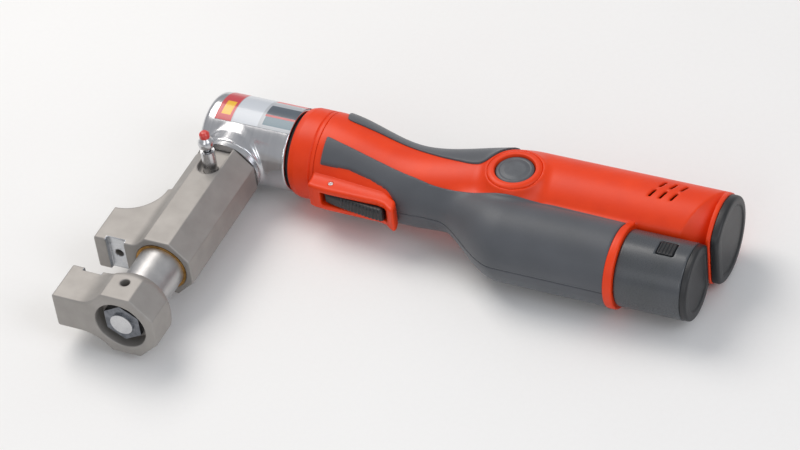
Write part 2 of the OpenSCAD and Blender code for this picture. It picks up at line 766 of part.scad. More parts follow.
// Planetary gearbox and motor
module gear(teeth, root, tip, root_share, tip_share) {
  step = 360 / teeth;
  polygon([for (i = [0 : teeth - 1]) each
    [for (corner = [[root, -root_share], [tip, -tip_share], [tip, tip_share], [root, root_share]])
      let (a = i * step + corner[1] * step / 2) [corner[0] * cos(a), corner[0] * sin(a)]]]);
}
module gear_solid(x, teeth, bore, turn) {
  pitch = gear_module * teeth / 2;
  translate([x, 0, 0]) rotate([90, 0, 90]) difference() {
    linear_extrude(gear_w) rotate(turn)
      gear(teeth, pitch - gear_module, pitch + 0.7 * gear_module, 0.6, 0.22);
    translate([0, 0, -1]) cylinder(r = bore, h = gear_w + 2, $fn = 32);
  }
}
module ring_gear() {
  pitch = gear_module * ring_teeth / 2;
  color("gray") place() {
    difference() {
      along_x(gearbox_x, ring_outer, gearbox_len);
      translate([gearbox_x + 2, 0, 0]) rotate([90, 0, 90]) linear_extrude(gearbox_len)
        gear(ring_teeth, pitch - 0.7 * gear_module, pitch + 1.1 * gear_module, 0.82, 0.4);
      along_x(gearbox_x - 1, output_r + gap, 10);
    }
  }
}
module sun_gear() {
  color("goldenrod") place() gear_solid(gear_x, sun_teeth, motor_shaft_r + 0.01, 0);
}
module planet_gear(i) {
  turn = i * 360 / 3;
  color("goldenrod") place() translate([0, planet_orbit * cos(turn), planet_orbit * sin(turn)])
    gear_solid(gear_x, planet_teeth, planet_pin_r + fit, turn);
}
module planet_gear_1() { planet_gear(0); }
module planet_gear_2() { planet_gear(1); }
module planet_gear_3() { planet_gear(2); }
module planet_carrier() {
  disc_x = gearbox_x + 2 + gap;
  color("gray") place() {
    along_x(disc_x, planet_orbit + 2.6, gear_x - gap - disc_x);
    along_x(eccentric_x, output_r, disc_x - eccentric_x);
    translate([0, -throw, 0]) along_x(eccentric_x, eccentric_r, 5.5);
    for (turn = [0 : 120 : 240]) translate([0, planet_orbit * cos(turn), planet_orbit * sin(turn)])
      along_x(disc_x + 1, planet_pin_r, gear_w + 2.5);
  }
}
module motor_can() {
  color("silver") place() difference() {
    along_x(motor_x, motor_r, motor_len);
    along_x(motor_x + 5, motor_r - 4.5, motor_len - 10);
    along_x(motor_x - 1, motor_shaft_r + fit, motor_len + 2);
  }
}
module rotor() {
  color("peru") place() {
    along_x(gear_x, motor_shaft_r, motor_x + motor_len - gear_x);
    along_x(motor_x + 7, motor_r - 5, motor_len - 14);
  }
}
module circuit_board() {
  board_x = motor_x + motor_len + 3;
  board_w = rear_w - wall - 0.6;
  chip = board_w / 2;
  color("darkgreen") place() {
    translate([board_x, 6, -board_w]) cube([rear_x - 16 - board_x, 1.6, 2 * board_w]);
    for (i = [0 : 2]) translate([board_x + chip / 2 + i * 1.25 * chip, 7.6, -chip / 2]) cube([chip * 5 / 6, 4, chip]);
  }
}
module contact_block() {
  color("black") place() difference() {
    intersection() {
      translate([0, -battery_drop + 0.5, 0]) along_x(shoulder_x - 6, tube_inner - 1.1, stem_x - shoulder_x + 5);
      translate([0, -100, -50]) cube([400, 100 - stem_top, 100]);
    }
    at_contacts() translate([-4.5, -3.3, -0.7]) cube([6, 6.6, 1.4]);
  }
}
module at_contacts() {
  for (i = [-1.5 : 1 : 1.5]) translate([stem_x, -battery_drop, i * 6]) children();
}
module trigger_switch() {
  switch_low = trigger_drop - 6.5;
  color("black") place() {
    translate([trigger_x + 3.5, -switch_low, -4]) cube([15, switch_low - bladder_r - 0.3, 8]);
    translate([trigger_x + 12, -switch_low - 1.2, -1.5]) cube([3, 1.3, 3]);
  }
}

// Front collar, guard and trigger
module front_collar() {
  color("orangered") place() ring_profile(collar_x, collar_r, pump_face_r + 0.02, collar_len, 2.5);
}
function guard_top(x) = bottom_y(x) - 0.15;
module guard_outline() {
  polygon(concat(
    [for (i = [0 : 8]) let (x = collar_end + 0.1 + (guard_end - 1 - collar_end) * i / 8) [x, guard_top(x)]],
    [[guard_end - 1, -guard_drop + 3.5], [guard_end - 2, -guard_drop], [guard_end - 6, -guard_drop],
     [guard_end - 14, -guard_drop + 3.2], [trigger_x + 10, -trigger_drop - 5.6],
     [trigger_x - 2, -trigger_drop - 5], [collar_end + 0.1, -trigger_drop - 1]]));
}
module trigger_guard() {
  slot_end = trigger_x + trigger_len + 1.5;
  color("orangered") place() difference() {
    translate([0, 0, -guard_z]) linear_extrude(2 * guard_z) guard_outline();
    translate([trigger_x - 5.5, -60, -cheek_z]) cube([slot_end - trigger_x + 5.5, 60, 2 * cheek_z]);
    translate([trigger_x, -trigger_drop, -guard_z - 1]) cylinder(r = trigger_pin_r + 0.01, h = 2 * guard_z + 2);
  }
}
module trigger_pin() {
  color("silver") place() translate([trigger_x, -trigger_drop, -guard_z])
    cylinder(r = trigger_pin_r, h = 2 * guard_z);
}
module trigger() {
  color("black") place() translate([trigger_x, -trigger_drop, -trigger_w / 2]) difference() {
    linear_extrude(trigger_w) polygon([[-4, 2.5], [4, 4], [14, 3.5], [24, 1], [trigger_len - 3, -2.5],
      [trigger_len, -6], [trigger_len - 1, -9.5], [28, -9], [14, -7], [4, -5.5], [-3, -4]]);
    translate([0, 0, -1]) cylinder(r = trigger_pin_r + fit, h = trigger_w + 2);
  }
}
module trigger_spring() {
  color("slategray") place() translate([plunger_x - 3, -plunger_floor - 1.6, 0]) rotate([90, 0, 0])
    coil(2, 0.35, trigger_drop - plunger_floor - 2.8, 6);
}

// Release button and its raised ring
module button_bezel() {
  color("orangered") place() translate([button_x, button_y, bezel_low]) difference() {
    cylinder(r = bezel_r, h = button_top + 0.5 - bezel_low);
    translate([0, 0, 1.2]) cylinder(r = button_r + 0.4, h = 30);
  }
}
module release_button() {
  color("dimgray") place() translate([button_x, button_y, 0]) difference() {
    translate([0, 0, button_top - 7.5]) cylinder(r = button_r, h = 7.5);
    translate([0, 0, button_top + dish_r - dish_depth]) sphere(dish_r, $fn = 128);
  }
}
module button_spring() {
  color("slategray") place() translate([button_x, button_y, bezel_low + 1.3])
    coil(6, 0.3, button_top - 7.6 - bezel_low - 1.3, 2);
}
module rear_bumper() {
  color("black") place() rear_section(rear_x, bumper_t, -0.8);
}

// Battery that slides out of the tube
module below(y) {
  translate([0, -100, -50]) cube([400, 100 - y, 100]);
}
module pack_solid(shrink) {
  translate([0, -battery_drop, 0]) along_x(stem_x + shrink, stem_r - shrink, pack_x - stem_x + 1 - shrink);
}
module battery_form(shrink) {
  intersection() {
    pack_solid(shrink);
    below(stem_top + shrink);
    translate([0, -100, -50]) cube([pack_x + shrink, 200, 100]);
  }
  intersection() {
    translate([0, -battery_drop, 0]) along_x(pack_x + shrink, pack_r - shrink, pack_end - pack_x);
    below(pack_top + shrink);
    translate([0, -100, -50]) cube([pack_end, 200, 100]);
  }
}
latch_w = 10;
latch_x = pack_end - 19;
module latch_pocket(side) {
  translate([latch_x - gap, -battery_drop - latch_w / 2 - gap, side > 0 ? pack_r - 6 : -30])
    cube([latch_w + 2 * gap, latch_w + 2 * gap, 36 - pack_r]);
}
module battery_shell() {
  color("dimgray") place() difference() {
    battery_form(0);
    battery_form(pack_wall);
    for (side = [-1, 1]) latch_pocket(side);
  }
}
module battery_cells() {
  color("steelblue") place() for (turn = [60 : 120 : 300])
    translate([0, -battery_drop + cell_r * 2 / sqrt(3) * cos(turn), cell_r * 2 / sqrt(3) * sin(turn)])
      along_x(cells_x, cell_r - 0.03, cell_len);
}
module battery_contacts() {
  color("gold") place() at_contacts() translate([-3.5, -3, -0.4]) cube([3.5, 6, 0.8]);
}
module battery_cap() {
  color("black") place() intersection() {
    translate([0, -battery_drop, 0]) along_x(pack_end, pack_r - 0.3, pack_cap_t);
    below(pack_top + 0.2);
  }
}
module latch(side) {
  color("black") place() translate([latch_x, -battery_drop - latch_w / 2, side > 0 ? pack_r - 4 : -pack_r - 0.6])
    cube([latch_w, latch_w, 4.6]);
}
module latch_left() { latch(1); }
module latch_right() { latch(-1); }

head_housing();
head_label();
press_gland();
rod_seal();
press_block();
guide_bush();
return_spring();
index_barrel();
index_pin();
pin_knob();
pin_spring();
piston_rod();
piston();
piston_seal();
guide_sleeve();
yoke();
lock_screw();
rod_nut();
pump_body();
swivel_clip();
swivel_seal();
dust_ring();
pump_plunger();
plunger_spring();
oil_bladder();
front_bearing();
ring_gear();
motor_can();
circuit_board();
contact_block();
trigger_switch();
housing_left();
housing_right();
front_collar();
trigger_guard();
grip_left();
grip_right();
accent_ring();
rear_bumper();
button_bezel();
housing_screws();
trigger_pin();
trigger_spring();
button_spring();
trigger();
release_button();
rotor();
sun_gear();
planet_carrier();
planet_gear_1();
planet_gear_2();
planet_gear_3();
battery_shell();
battery_cells();
battery_contacts();
battery_cap();
latch_left();
latch_right();
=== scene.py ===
import math
from functools import reduce

import bmesh
import bpy
import numpy as np
from mathutils import Matrix, Vector


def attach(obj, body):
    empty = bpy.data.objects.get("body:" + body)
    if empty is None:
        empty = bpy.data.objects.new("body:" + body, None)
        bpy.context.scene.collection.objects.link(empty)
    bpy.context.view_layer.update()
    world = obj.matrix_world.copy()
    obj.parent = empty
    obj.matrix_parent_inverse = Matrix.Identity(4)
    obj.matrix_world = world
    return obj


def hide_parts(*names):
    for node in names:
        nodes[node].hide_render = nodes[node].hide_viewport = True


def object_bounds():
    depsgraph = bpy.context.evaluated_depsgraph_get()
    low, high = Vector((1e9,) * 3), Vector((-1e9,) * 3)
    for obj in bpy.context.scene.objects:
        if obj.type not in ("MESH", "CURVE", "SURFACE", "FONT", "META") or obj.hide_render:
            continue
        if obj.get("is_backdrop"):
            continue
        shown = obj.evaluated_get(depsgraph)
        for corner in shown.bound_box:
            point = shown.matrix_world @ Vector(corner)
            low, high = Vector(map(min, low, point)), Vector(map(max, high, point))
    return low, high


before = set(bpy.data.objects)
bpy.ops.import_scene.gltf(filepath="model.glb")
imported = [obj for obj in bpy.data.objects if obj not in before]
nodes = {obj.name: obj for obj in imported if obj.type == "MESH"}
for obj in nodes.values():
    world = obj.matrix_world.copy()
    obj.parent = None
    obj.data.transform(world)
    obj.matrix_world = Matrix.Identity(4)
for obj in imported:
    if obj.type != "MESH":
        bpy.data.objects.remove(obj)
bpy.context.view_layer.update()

print("frame loaded:", len(nodes), "pieces")

# Shapes below are in millimetres from the crossing of the handle axis and the press axis
crossing = np.array([-131.5, 69.0, 27.5])


def toRow(points):
    return (np.asarray(points, float) + crossing) / 1000.0


# Camera where the photograph was taken from, with a longer lens aimed at the tool
camera = {
    "place": (0.620, -1.106, 1.214),
    "aim": (-0.002, 0.008, 0.047),
    "right": (0.9196, 0.3841, -0.0824),
    "lens": 136.0,
}
cam = bpy.data.objects.new("camera", bpy.data.cameras.new("camera"))
bpy.context.scene.collection.objects.link(cam)
ahead = (Vector(camera["aim"]) - Vector(camera["place"])).normalized()
side = Vector(camera["right"])
side = (side - ahead * side.dot(ahead)).normalized()
turn = Matrix((side, side.cross(ahead), -ahead)).transposed()
cam.matrix_world = Matrix.Translation(camera["place"]) @ turn.to_4x4()
cam.data.lens = camera["lens"]
cam.data.sensor_width = 36.0
cam.data.clip_end = 20.0
bpy.context.scene.camera = cam
print("camera placed")


# Nodes and materials
def toLinear(text):
    parts = [int(text[i:i + 2], 16) / 255.0 for i in (1, 3, 5)]
    return tuple(p / 12.92 if p <= 0.04045 else ((p + 0.055) / 1.055) ** 2.4 for p in parts) + (1.0,)


def addNode(tree, kind, inputs=None, links=None, **settings):
    node = tree.nodes.new(kind)
    for key, value in settings.items():
        setattr(node, key, value)
    for key, value in (inputs or {}).items():
        node.inputs[key].default_value = value
    for key, socket in (links or {}).items():
        tree.links.new(socket, node.inputs[key])
    return node


def startMaterial(name, sockets):
    material = bpy.data.materials.new(name)
    material.use_nodes = True
    tree = material.node_tree
    tree.nodes.clear()
    shader = addNode(tree, "ShaderNodeBsdfPrincipled", sockets)
    addNode(tree, "ShaderNodeOutputMaterial", links={"Surface": shader.outputs[0]})
    return material, tree, shader


# Most values of a noise texture lie in this span
noiseSpan = {"From Min": 0.3, "From Max": 0.7}


def surface(name, look):
    material, tree, shader = startMaterial(name, {
        "Metallic": look.get("metallic", 0.0), "IOR": look.get("ior", 1.5),
        "Coat Weight": look.get("coat", 0.0), "Sheen Weight": look.get("sheen", 0.0)})
    grainShade = look.get("grainShade", 0.3)
    place = addNode(tree, "ShaderNodeTexCoord").outputs["Object"]
    drawn = addNode(tree, "ShaderNodeMapping", {"Scale": look.get("stretch", (1, 1, 1))},
                    {"Vector": place}).outputs["Vector"]
    patch = addNode(tree, "ShaderNodeTexNoise", {"Scale": 1000 / look["patch"], "Detail": 4.0},
                    {"Vector": place}).outputs["Fac"]
    grain = addNode(tree, "ShaderNodeTexNoise", {"Scale": 1000 / look["grain"], "Detail": 2.0},
                    {"Vector": drawn}).outputs["Fac"]
    mixed = addNode(tree, "ShaderNodeMath", {1: grainShade}, {0: grain, 2: patch},
                    operation="MULTIPLY_ADD").outputs[0]
    spread = addNode(tree, "ShaderNodeMapRange", {"From Min": 0.4, "From Max": 0.8 + grainShade * 0.5},
                     {"Value": mixed}).outputs["Result"]
    # Inputs 0, 6 and 7 of a colour Mix node are its factor and its two colours
    colour = addNode(tree, "ShaderNodeMix", {6: toLinear(look["dark"]), 7: toLinear(look["light"])},
                     {0: spread}, data_type="RGBA")
    rough = addNode(tree, "ShaderNodeMapRange",
                    {**noiseSpan, "To Min": look["rough"][0], "To Max": look["rough"][1]}, {"Value": grain})
    bump = addNode(tree, "ShaderNodeBump",
                   {"Strength": look.get("strength", 0.3), "Distance": look["relief"] / 1000},
                   {"Height": grain})
    tree.links.new(colour.outputs[2], shader.inputs["Base Color"])
    tree.links.new(rough.outputs["Result"], shader.inputs["Roughness"])
    tree.links.new(bump.outputs["Normal"], shader.inputs["Normal"])
    return material


# What each material is, how it was made and what that gives the eye. Patch, grain and relief are in
# millimetres. Bump strength is 0.3 where none is given.
looks = {
    # ground and polished steel: bright, faint turning lines round the head
    "polishedSteel": dict(light="#d6d6d8", dark="#c4c5c8", metallic=1.0, rough=(0.19, 0.26), patch=14,
                          grain=0.9, stretch=(1.0, 0.04, 0.04), relief=0.004, strength=0.25),
    # cast steel blasted with fine grit: pale, warm and matt
    "blastedSteel": dict(light="#aaa6a2", dark="#9b9793", metallic=0.6, rough=(0.5, 0.62), patch=12,
                         grain=0.45, relief=0.06, strength=0.45),
    # ground seats in the castings: brighter, with fine parallel scratches
    "groundSteel": dict(light="#d7d9dc", dark="#bcc0c6", metallic=1.0, rough=(0.24, 0.36), patch=6,
                        grain=0.4, stretch=(0.05, 1.0, 1.0), relief=0.01),
    # turned and ground steel of rods and pins
    "turnedSteel": dict(light="#dcdcdd", dark="#bfc0c3", metallic=1.0, rough=(0.2, 0.32), patch=8,
                        grain=0.5, stretch=(0.05, 1.0, 0.05), relief=0.01),
    # honed sleeve: satin grey, close to the castings beside it
    "honedSteel": dict(light="#c9c8c7", dark="#b7b6b6", metallic=0.9, rough=(0.34, 0.46), patch=8,
                       grain=0.5, stretch=(1.0, 0.2, 1.0), relief=0.01, strength=0.2, grainShade=0.1),
    "springSteel": dict(light="#8d9096", dark="#62656b", metallic=1.0, rough=(0.25, 0.38), patch=3,
                        grain=0.3, relief=0.008),
    # black oxide on screws
    "blackOxideSteel": dict(light="#3a3a3d", dark="#1f1f22", metallic=1.0, rough=(0.3, 0.45), patch=2,
                            grain=0.3, relief=0.01),
    "bearingBronze": dict(light="#c79a5b", dark="#9c7238", metallic=1.0, rough=(0.25, 0.4), patch=4,
                          grain=0.4, stretch=(0.1, 1.0, 0.1), relief=0.01),
    "castAluminium": dict(light="#c9cacc", dark="#a5a7aa", metallic=1.0, rough=(0.4, 0.55), patch=6,
                          grain=0.5, relief=0.03, strength=0.4),
    # glass-filled nylon moulded in a lightly spark-eroded tool: even orange with a soft sheen
    "orangeNylon": dict(light="#ee4005", dark="#e13803", rough=(0.36, 0.48), ior=1.42, patch=18,
                        grain=0.35, relief=0.02, grainShade=0.15),
    # soft thermoplastic rubber moulded over the shell: dull grey with a fine leathery grain
    "overmouldRubber": dict(light="#505359", dark="#484b50", rough=(0.42, 0.58), patch=20,
                            grain=0.5, relief=0.05, strength=0.5, sheen=0.15),
    "batteryAbs": dict(light="#4b4e53", dark="#434649", rough=(0.24, 0.34), ior=1.54, patch=15,
                       grain=0.35, relief=0.02, grainShade=0.15),
    "blackNylon": dict(light="#26272a", dark="#18191b", rough=(0.38, 0.52), ior=1.53, patch=8, grain=0.35,
                       relief=0.025, strength=0.4),
    "buttonNylon": dict(light="#5b5f64", dark="#4b4e53", rough=(0.4, 0.52), ior=1.53, patch=6, grain=0.35,
                        relief=0.02, strength=0.4),
    "nitrileRubber": dict(light="#202123", dark="#131314", rough=(0.5, 0.65), patch=5, grain=0.3,
                          relief=0.02, strength=0.4),
    "redEnamel": dict(light="#d9433c", dark="#c2322c", rough=(0.22, 0.32), patch=4, grain=0.4,
                      relief=0.01, coat=0.3),
    "copperWinding": dict(light="#c77a4b", dark="#8a4524", metallic=1.0, rough=(0.3, 0.45), patch=2,
                          grain=0.5, stretch=(1.0, 0.05, 0.05), relief=0.15, strength=0.8),
    "gearSteel": dict(light="#b0a893", dark="#8b8371", metallic=1.0, rough=(0.3, 0.45), patch=3,
                      grain=0.3, relief=0.02, strength=0.4),
    "boardLaminate": dict(light="#1f6b3a", dark="#14512a", rough=(0.25, 0.4), patch=3, grain=0.4,
                          relief=0.02, strength=0.4, coat=0.3),
    "cellSleeve": dict(light="#3c78b8", dark="#2c629c", rough=(0.25, 0.35), patch=9, grain=0.4,
                       relief=0.01),
    "goldPlate": dict(light="#e8c268", dark="#cfa548", metallic=1.0, rough=(0.18, 0.28), patch=3,
                      grain=0.3, relief=0.005),
}
materials = {name: surface(name, look) for name, look in looks.items()}
# The CAD pieces that show as they are. The others are replaced further on.
finishes = {
    "turnedSteel": ("press_gland", "index_barrel", "index_pin", "piston_rod", "piston", "pump_plunger",
                    "front_bearing", "motor_can", "trigger_pin", "planet_carrier"),
    "nitrileRubber": ("rod_seal", "piston_seal", "swivel_seal", "dust_ring", "oil_bladder"),
    "gearSteel": ("ring_gear", "sun_gear", "planet_gear_1", "planet_gear_2", "planet_gear_3"),
    "springSteel": ("rod_nut", "swivel_clip"),
    "blackNylon": ("contact_block", "trigger_switch"),
    "honedSteel": ("guide_sleeve",),
    "bearingBronze": ("guide_bush",),
    "blackOxideSteel": ("lock_screw",),
    "castAluminium": ("pump_body",),
    "boardLaminate": ("circuit_board",),
    "copperWinding": ("rotor",),
    "cellSleeve": ("battery_cells",),
    "goldPlate": ("battery_contacts",),
}
for finish, names in finishes.items():
    for name in names:
        nodes[name].data.materials.clear()
        nodes[name].data.materials.append(materials[finish])
print("materials made:", len(materials))


# Solids carved as distance fields, then turned to a mesh of even quads
def smoothMin(a, b, k):
    h = np.clip(0.5 + 0.5 * (b - a) / k, 0, 1)
    return b + (a - b) * h - k * h * (1 - h)


def smoothMax(a, b, k):
    return -smoothMin(-a, -b, k)


def allOf(*fields):
    return reduce(np.maximum, fields)


def anyOf(*fields):
    return reduce(np.minimum, fields)


def between(value, low, high):
    return np.maximum(low - value, value - high)


def blockField(x, y, z, low, high, edge=0.0):
    q = [np.abs(v - (a + b) / 2) - ((b - a) / 2 - edge) for v, a, b in zip((x, y, z), low, high)]
    outer = np.sqrt(sum(np.maximum(v, 0) ** 2 for v in q))
    return outer + np.minimum(allOf(*q), 0) - edge


def rodField(u, v, w, radius, low, high, edge=0.0):
    around = np.hypot(u, v) - (radius - edge)
    ends = np.abs(w - (low + high) / 2) - ((high - low) / 2 - edge)
    outer = np.hypot(np.maximum(around, 0), np.maximum(ends, 0))
    return outer + np.minimum(np.maximum(around, ends), 0) - edge


def octagonField(u, v, across):
    u, v = np.abs(u), np.abs(v)
    return np.maximum(np.maximum(u, v), (u + v) * math.sqrt(0.5)) - across / 2


# Measures of the mesher, in cells: how far the grid starts outside the shape (no whole number, so that
# flat faces don't fall on its planes), layers worked at a time, and steps of the points to the surface
mesher = {"before": 2.37, "after": 2.0, "layers": 24, "rounds": 3, "probe": 0.02, "flattest": 0.05,
          "reach": 0.5}


def settle(field, points, cell):
    step = cell * mesher["probe"]
    for _ in range(mesher["rounds"]):
        value = field(*points.T)
        slope = np.empty_like(points)
        for k in range(3):
            moved = points.copy()
            moved[:, k] += step
            ahead = field(*moved.T)
            moved[:, k] -= 2 * step
            slope[:, k] = (ahead - field(*moved.T)) / (2 * step)
        size = np.maximum((slope ** 2).sum(1), mesher["flattest"])
        reach = mesher["reach"] * cell
        points = points - slope * np.clip(value / size, -reach, reach)[:, None]
    return points


def carve(name, field, low, high, cell):
    low = np.array(low, float) - mesher["before"] * cell
    count = np.ceil((np.array(high, float) + mesher["after"] * cell - low) / cell).astype(int) + 1
    axes = [low[k] + cell * np.arange(count[k]) for k in range(3)]
    values = np.empty(count)
    for start in range(0, count[0], mesher["layers"]):
        some = slice(start, start + mesher["layers"])
        values[some] = field(*np.meshgrid(axes[0][some], axes[1], axes[2], indexing="ij"))
    stride = np.array([(count[1] - 1) * (count[2] - 1), count[2] - 1, 1])
    cellIds, spots, quads = [], [], []
    for axis in range(3):
        near, far = [slice(None)] * 3, [slice(None)] * 3
        near[axis], far[axis] = slice(0, -1), slice(1, None)
        a, b = values[tuple(near)], values[tuple(far)]
        crossed = np.argwhere((a < 0) != (b < 0))
        fa, fb = a[tuple(crossed.T)], b[tuple(crossed.T)]
        where = crossed.astype(float)
        where[:, axis] += fa / (fa - fb)
        u, v = (axis + 1) % 3, (axis + 2) % 3
        corners = []
        for du, dv in ((1, 1), (0, 1), (0, 0), (1, 0)):
            owner = crossed.copy()
            owner[:, u] -= du
            owner[:, v] -= dv
            corners.append(owner @ stride)
            cellIds.append(corners[-1])
            spots.append(where)
        quad = np.stack(corners, 1)
        quad[fa > 0] = quad[fa > 0][:, ::-1]
        quads.append(quad)
    used, owner = np.unique(np.concatenate(cellIds), return_inverse=True)
    spots = np.concatenate(spots)
    total = np.bincount(owner)
    points = np.stack([np.bincount(owner, spots[:, k]) / total for k in range(3)], 1) * cell + low
    points = settle(field, points, cell)
    return meshObject(name, points, np.searchsorted(used, np.concatenate(quads)).tolist())


def meshObject(name, points, faces):
    mesh = bpy.data.meshes.new(name)
    mesh.from_pydata(toRow(points).tolist(), [], faces)
    mesh.shade_smooth()
    piece = bpy.data.objects.new(name, mesh)
    bpy.context.scene.collection.objects.link(piece)
    return piece


def standIn(piece, body, finish, *replaced):
    if not piece.data.materials:
        piece.data.materials.append(materials[finish])
    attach(piece, body)
    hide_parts(*replaced)
    print(piece.name, "made:", len(piece.data.polygons), "faces")


# Press block with its fixed jaw arm. A bore is a radius and the two heights that it runs between.
block = {"across": 39.0, "back": -30.3, "front": -117.5, "edge": 1.0, "blend": 3.0, "cell": 0.62,
         "armReach": -43.0, "armRoot": -12.0, "armBack": -90.0, "armHalf": 12.0, "armEdge": 1.6,
         "hollow": 23.5, "pocketY": -48.0, "pocketHalf": 7.0, "pocketEnd": -28.0, "pocketFloor": 15.5,
         "bores": ((11.55, -54.5, -20), (15.0, -120, -60), (16.15, -120, -99.5), (7.5, -100, -40)),
         "pinY": -47.0, "pinBore": (4.25, 0, 30)}
jawSeat = {"x": (-35.0, -23.0), "depth": 3.0, "edge": 0.3, "lip": 0.6, "slack": (0.4, 0.3),
           "screwX": -29.0, "screwBores": ((2.6, -125, -80), (5.0, -88.5, -60))}


def blockShape(x, y, z):
    b, seat = block, jawSeat
    body = smoothMax(octagonField(x, z, b["across"]), between(y, b["front"], b["back"]), b["edge"])
    top = b["armBack"] + b["hollow"]
    arm = np.maximum(between(x, b["armReach"], b["armRoot"]), between(y, b["front"], top))
    arm = smoothMax(arm, b["hollow"] - np.hypot(x - b["armReach"], y - top), 0.6)
    arm = smoothMax(arm, np.abs(z) - b["armHalf"], b["armEdge"])
    arm = smoothMax(arm, b["armReach"] - x, b["edge"])
    shape = smoothMin(body, arm, b["blend"])
    shape = smoothMax(shape, b["front"] - y, b["edge"])
    channel = np.maximum(np.abs(x) - b["pocketHalf"], between(y, b["pocketY"], b["pocketEnd"]))
    pocket = np.minimum(np.hypot(x, y - b["pocketY"]) - b["pocketHalf"], channel)
    shape = smoothMax(shape, -smoothMax(pocket, b["pocketFloor"] - z, 0.8), 0.7)
    bores = [rodField(x, z, y, *bore) for bore in b["bores"]]
    bores += [rodField(x - seat["screwX"], z, y, *bore) for bore in seat["screwBores"]]
    bores.append(rodField(x, y - b["pinY"], z, *b["pinBore"]))
    slot = np.maximum(between(x, *seat["x"]), y - b["front"] - seat["depth"])
    return smoothMax(smoothMax(shape, -anyOf(*bores), 0.5), -slot, seat["edge"])


def grindSeats(piece, faceY, depth):
    # The jaw seats are ground, so they are brighter than the blasted casting around them
    piece.data.materials.append(materials["groundSteel"])
    (left, right), (aside, beyond) = jawSeat["x"], jawSeat["slack"]
    near, far = min(faceY, depth) - beyond, max(faceY, depth) + beyond
    for face in piece.data.polygons:
        x, y, _ = np.array(face.center) * 1000 - crossing
        if left - aside < x < right + aside and near < y < far:
            face.material_index = 1


pressBlock = carve("pressBlock", blockShape, (-43, -117.5, -19.5), (19.5, -30.3, 19.5), block["cell"])
standIn(pressBlock, "block", "blastedSteel", "press_block")
grindSeats(pressBlock, block["front"] + jawSeat["lip"], block["front"] + jawSeat["depth"])

# Yoke with the moving jaw arm
yoke = {"across": 44.0, "back": -141.5, "front": -169.0, "edge": 1.3, "blend": 6.0, "cell": 0.6,
        "armReach": -43.0, "armRoot": -14.0, "armHalf": 12.0, "neck": 16.5, "flare": 0.914, "neckEdge": 1.5,
        "recess": 16.0, "recessDepth": 10.0, "bore": (7.02, -175, -135), "screwY": -155.0,
        "screwBore": (2.77, 0, 30)}


def yokeShape(x, y, z):
    k, seat = yoke, jawSeat
    ends = between(y, k["front"], k["back"])
    hub = smoothMax(octagonField(x, z, k["across"]), ends, k["edge"])
    cone = (np.hypot(x, z) - k["neck"] - (k["back"] - y) * k["flare"]) / math.hypot(1, k["flare"])
    hub = smoothMax(hub, cone, k["neckEdge"])
    arm = blockField(x, y, z, (k["armReach"], k["front"], -k["armHalf"]),
                     (k["armRoot"], k["back"], k["armHalf"]), k["edge"])
    shape = smoothMax(smoothMin(hub, arm, k["blend"]), ends, k["edge"])
    holes = anyOf(rodField(x, z, y, k["recess"], -175, k["front"] + k["recessDepth"]),
                  rodField(x, z, y, *k["bore"]), rodField(x, y - k["screwY"], z, *k["screwBore"]))
    slot = np.maximum(between(x, *seat["x"]), k["back"] - seat["depth"] - y)
    return smoothMax(smoothMax(shape, -holes, 0.6), -slot, seat["edge"])


yokeBody = carve("yokeBody", yokeShape, (-43, -169, -22), (22, -141.5, 22), yoke["cell"])
standIn(yokeBody, "ram", "blastedSteel", "yoke")
grindSeats(yokeBody, yoke["back"] - jawSeat["lip"], yoke["back"] - jawSeat["depth"])

# Head: one turned and polished body with its press bore
head = {"radius": 25.5, "front": -22.0, "rear": 36.0, "nose": 5.0, "rearEdge": 1.2, "boss": 21.0,
        "bossFace": -26.5, "bossEdge": 1.4, "bossBlend": 2.2, "pressBore": (16.0, -30, 18.5),
        "swivelBore": (13.05, 19, 40), "cell": 0.75}


def headShape(x, y, z):
    k = head
    around = np.hypot(y, z)
    nose = np.hypot(np.maximum(around - (k["radius"] - k["nose"]), 0),
                    np.maximum(k["front"] + k["nose"] - x, 0)) - k["nose"]
    body = allOf(around - k["radius"], k["front"] - x, nose)
    body = smoothMax(body, x - k["rear"], k["rearEdge"])
    boss = smoothMax(np.hypot(x, z) - k["boss"], between(y, k["bossFace"], 0), k["bossEdge"])
    shape = np.maximum(smoothMin(body, boss, k["bossBlend"]), k["bossFace"] - y)
    bores = np.minimum(rodField(x, z, y, *k["pressBore"]), rodField(y, z, x, *k["swivelBore"]))
    return smoothMax(shape, -bores, 0.4)


standIn(carve("headBody", headShape, (-22, -26.5, -25.5), (36, 25.5, 25.5), head["cell"]),
        "head", "polishedSteel", "head_housing")

# Handle skin, blended between the collar, the waist, the motor housing and the battery tube
handle = {"collarEnd": 56.0, "waist": 115.0, "shoulder": 185.0, "tubeMouth": 257.0, "rearWall": 301.0,
          "collarRadius": 27.5, "waistTop": 16.0, "waistBottom": 32.0, "waistHalf": 21.5,
          "rearTop": 31.0, "rearBottom": 24.0, "rearHalf": 26.0, "floor": -18.6, "wall": 2.0, "slab": 2.0,
          "bulge": 132.0, "bulgeRadius": 12.0, "bulgeAxis": -17.5, "bulgeSlope": 0.6, "tubeRadius": 23.2,
          "batteryAxis": -35.5, "tubeBlend": 5.0, "buttonX": 178.0, "buttonY": -4.0, "seatRadius": 16.9,
          "seatTop": 26.2, "seatSlope": 0.55, "seatEdge": 1.5, "seatRoot": 9.0, "seatBlend": 5.0, "cell": 0.85}


def ease(t):
    u = np.clip(t, 0, 1)
    return u * u * (3 - 2 * u)


def along(x, front, middle, rear):
    h = handle
    forward = front + (middle - front) * ease((x - h["collarEnd"]) / (h["waist"] - h["collarEnd"]))
    backward = middle + (rear - middle) * ease((x - h["waist"]) / (h["shoulder"] - h["waist"]))
    return np.where(x < h["waist"], forward, backward)


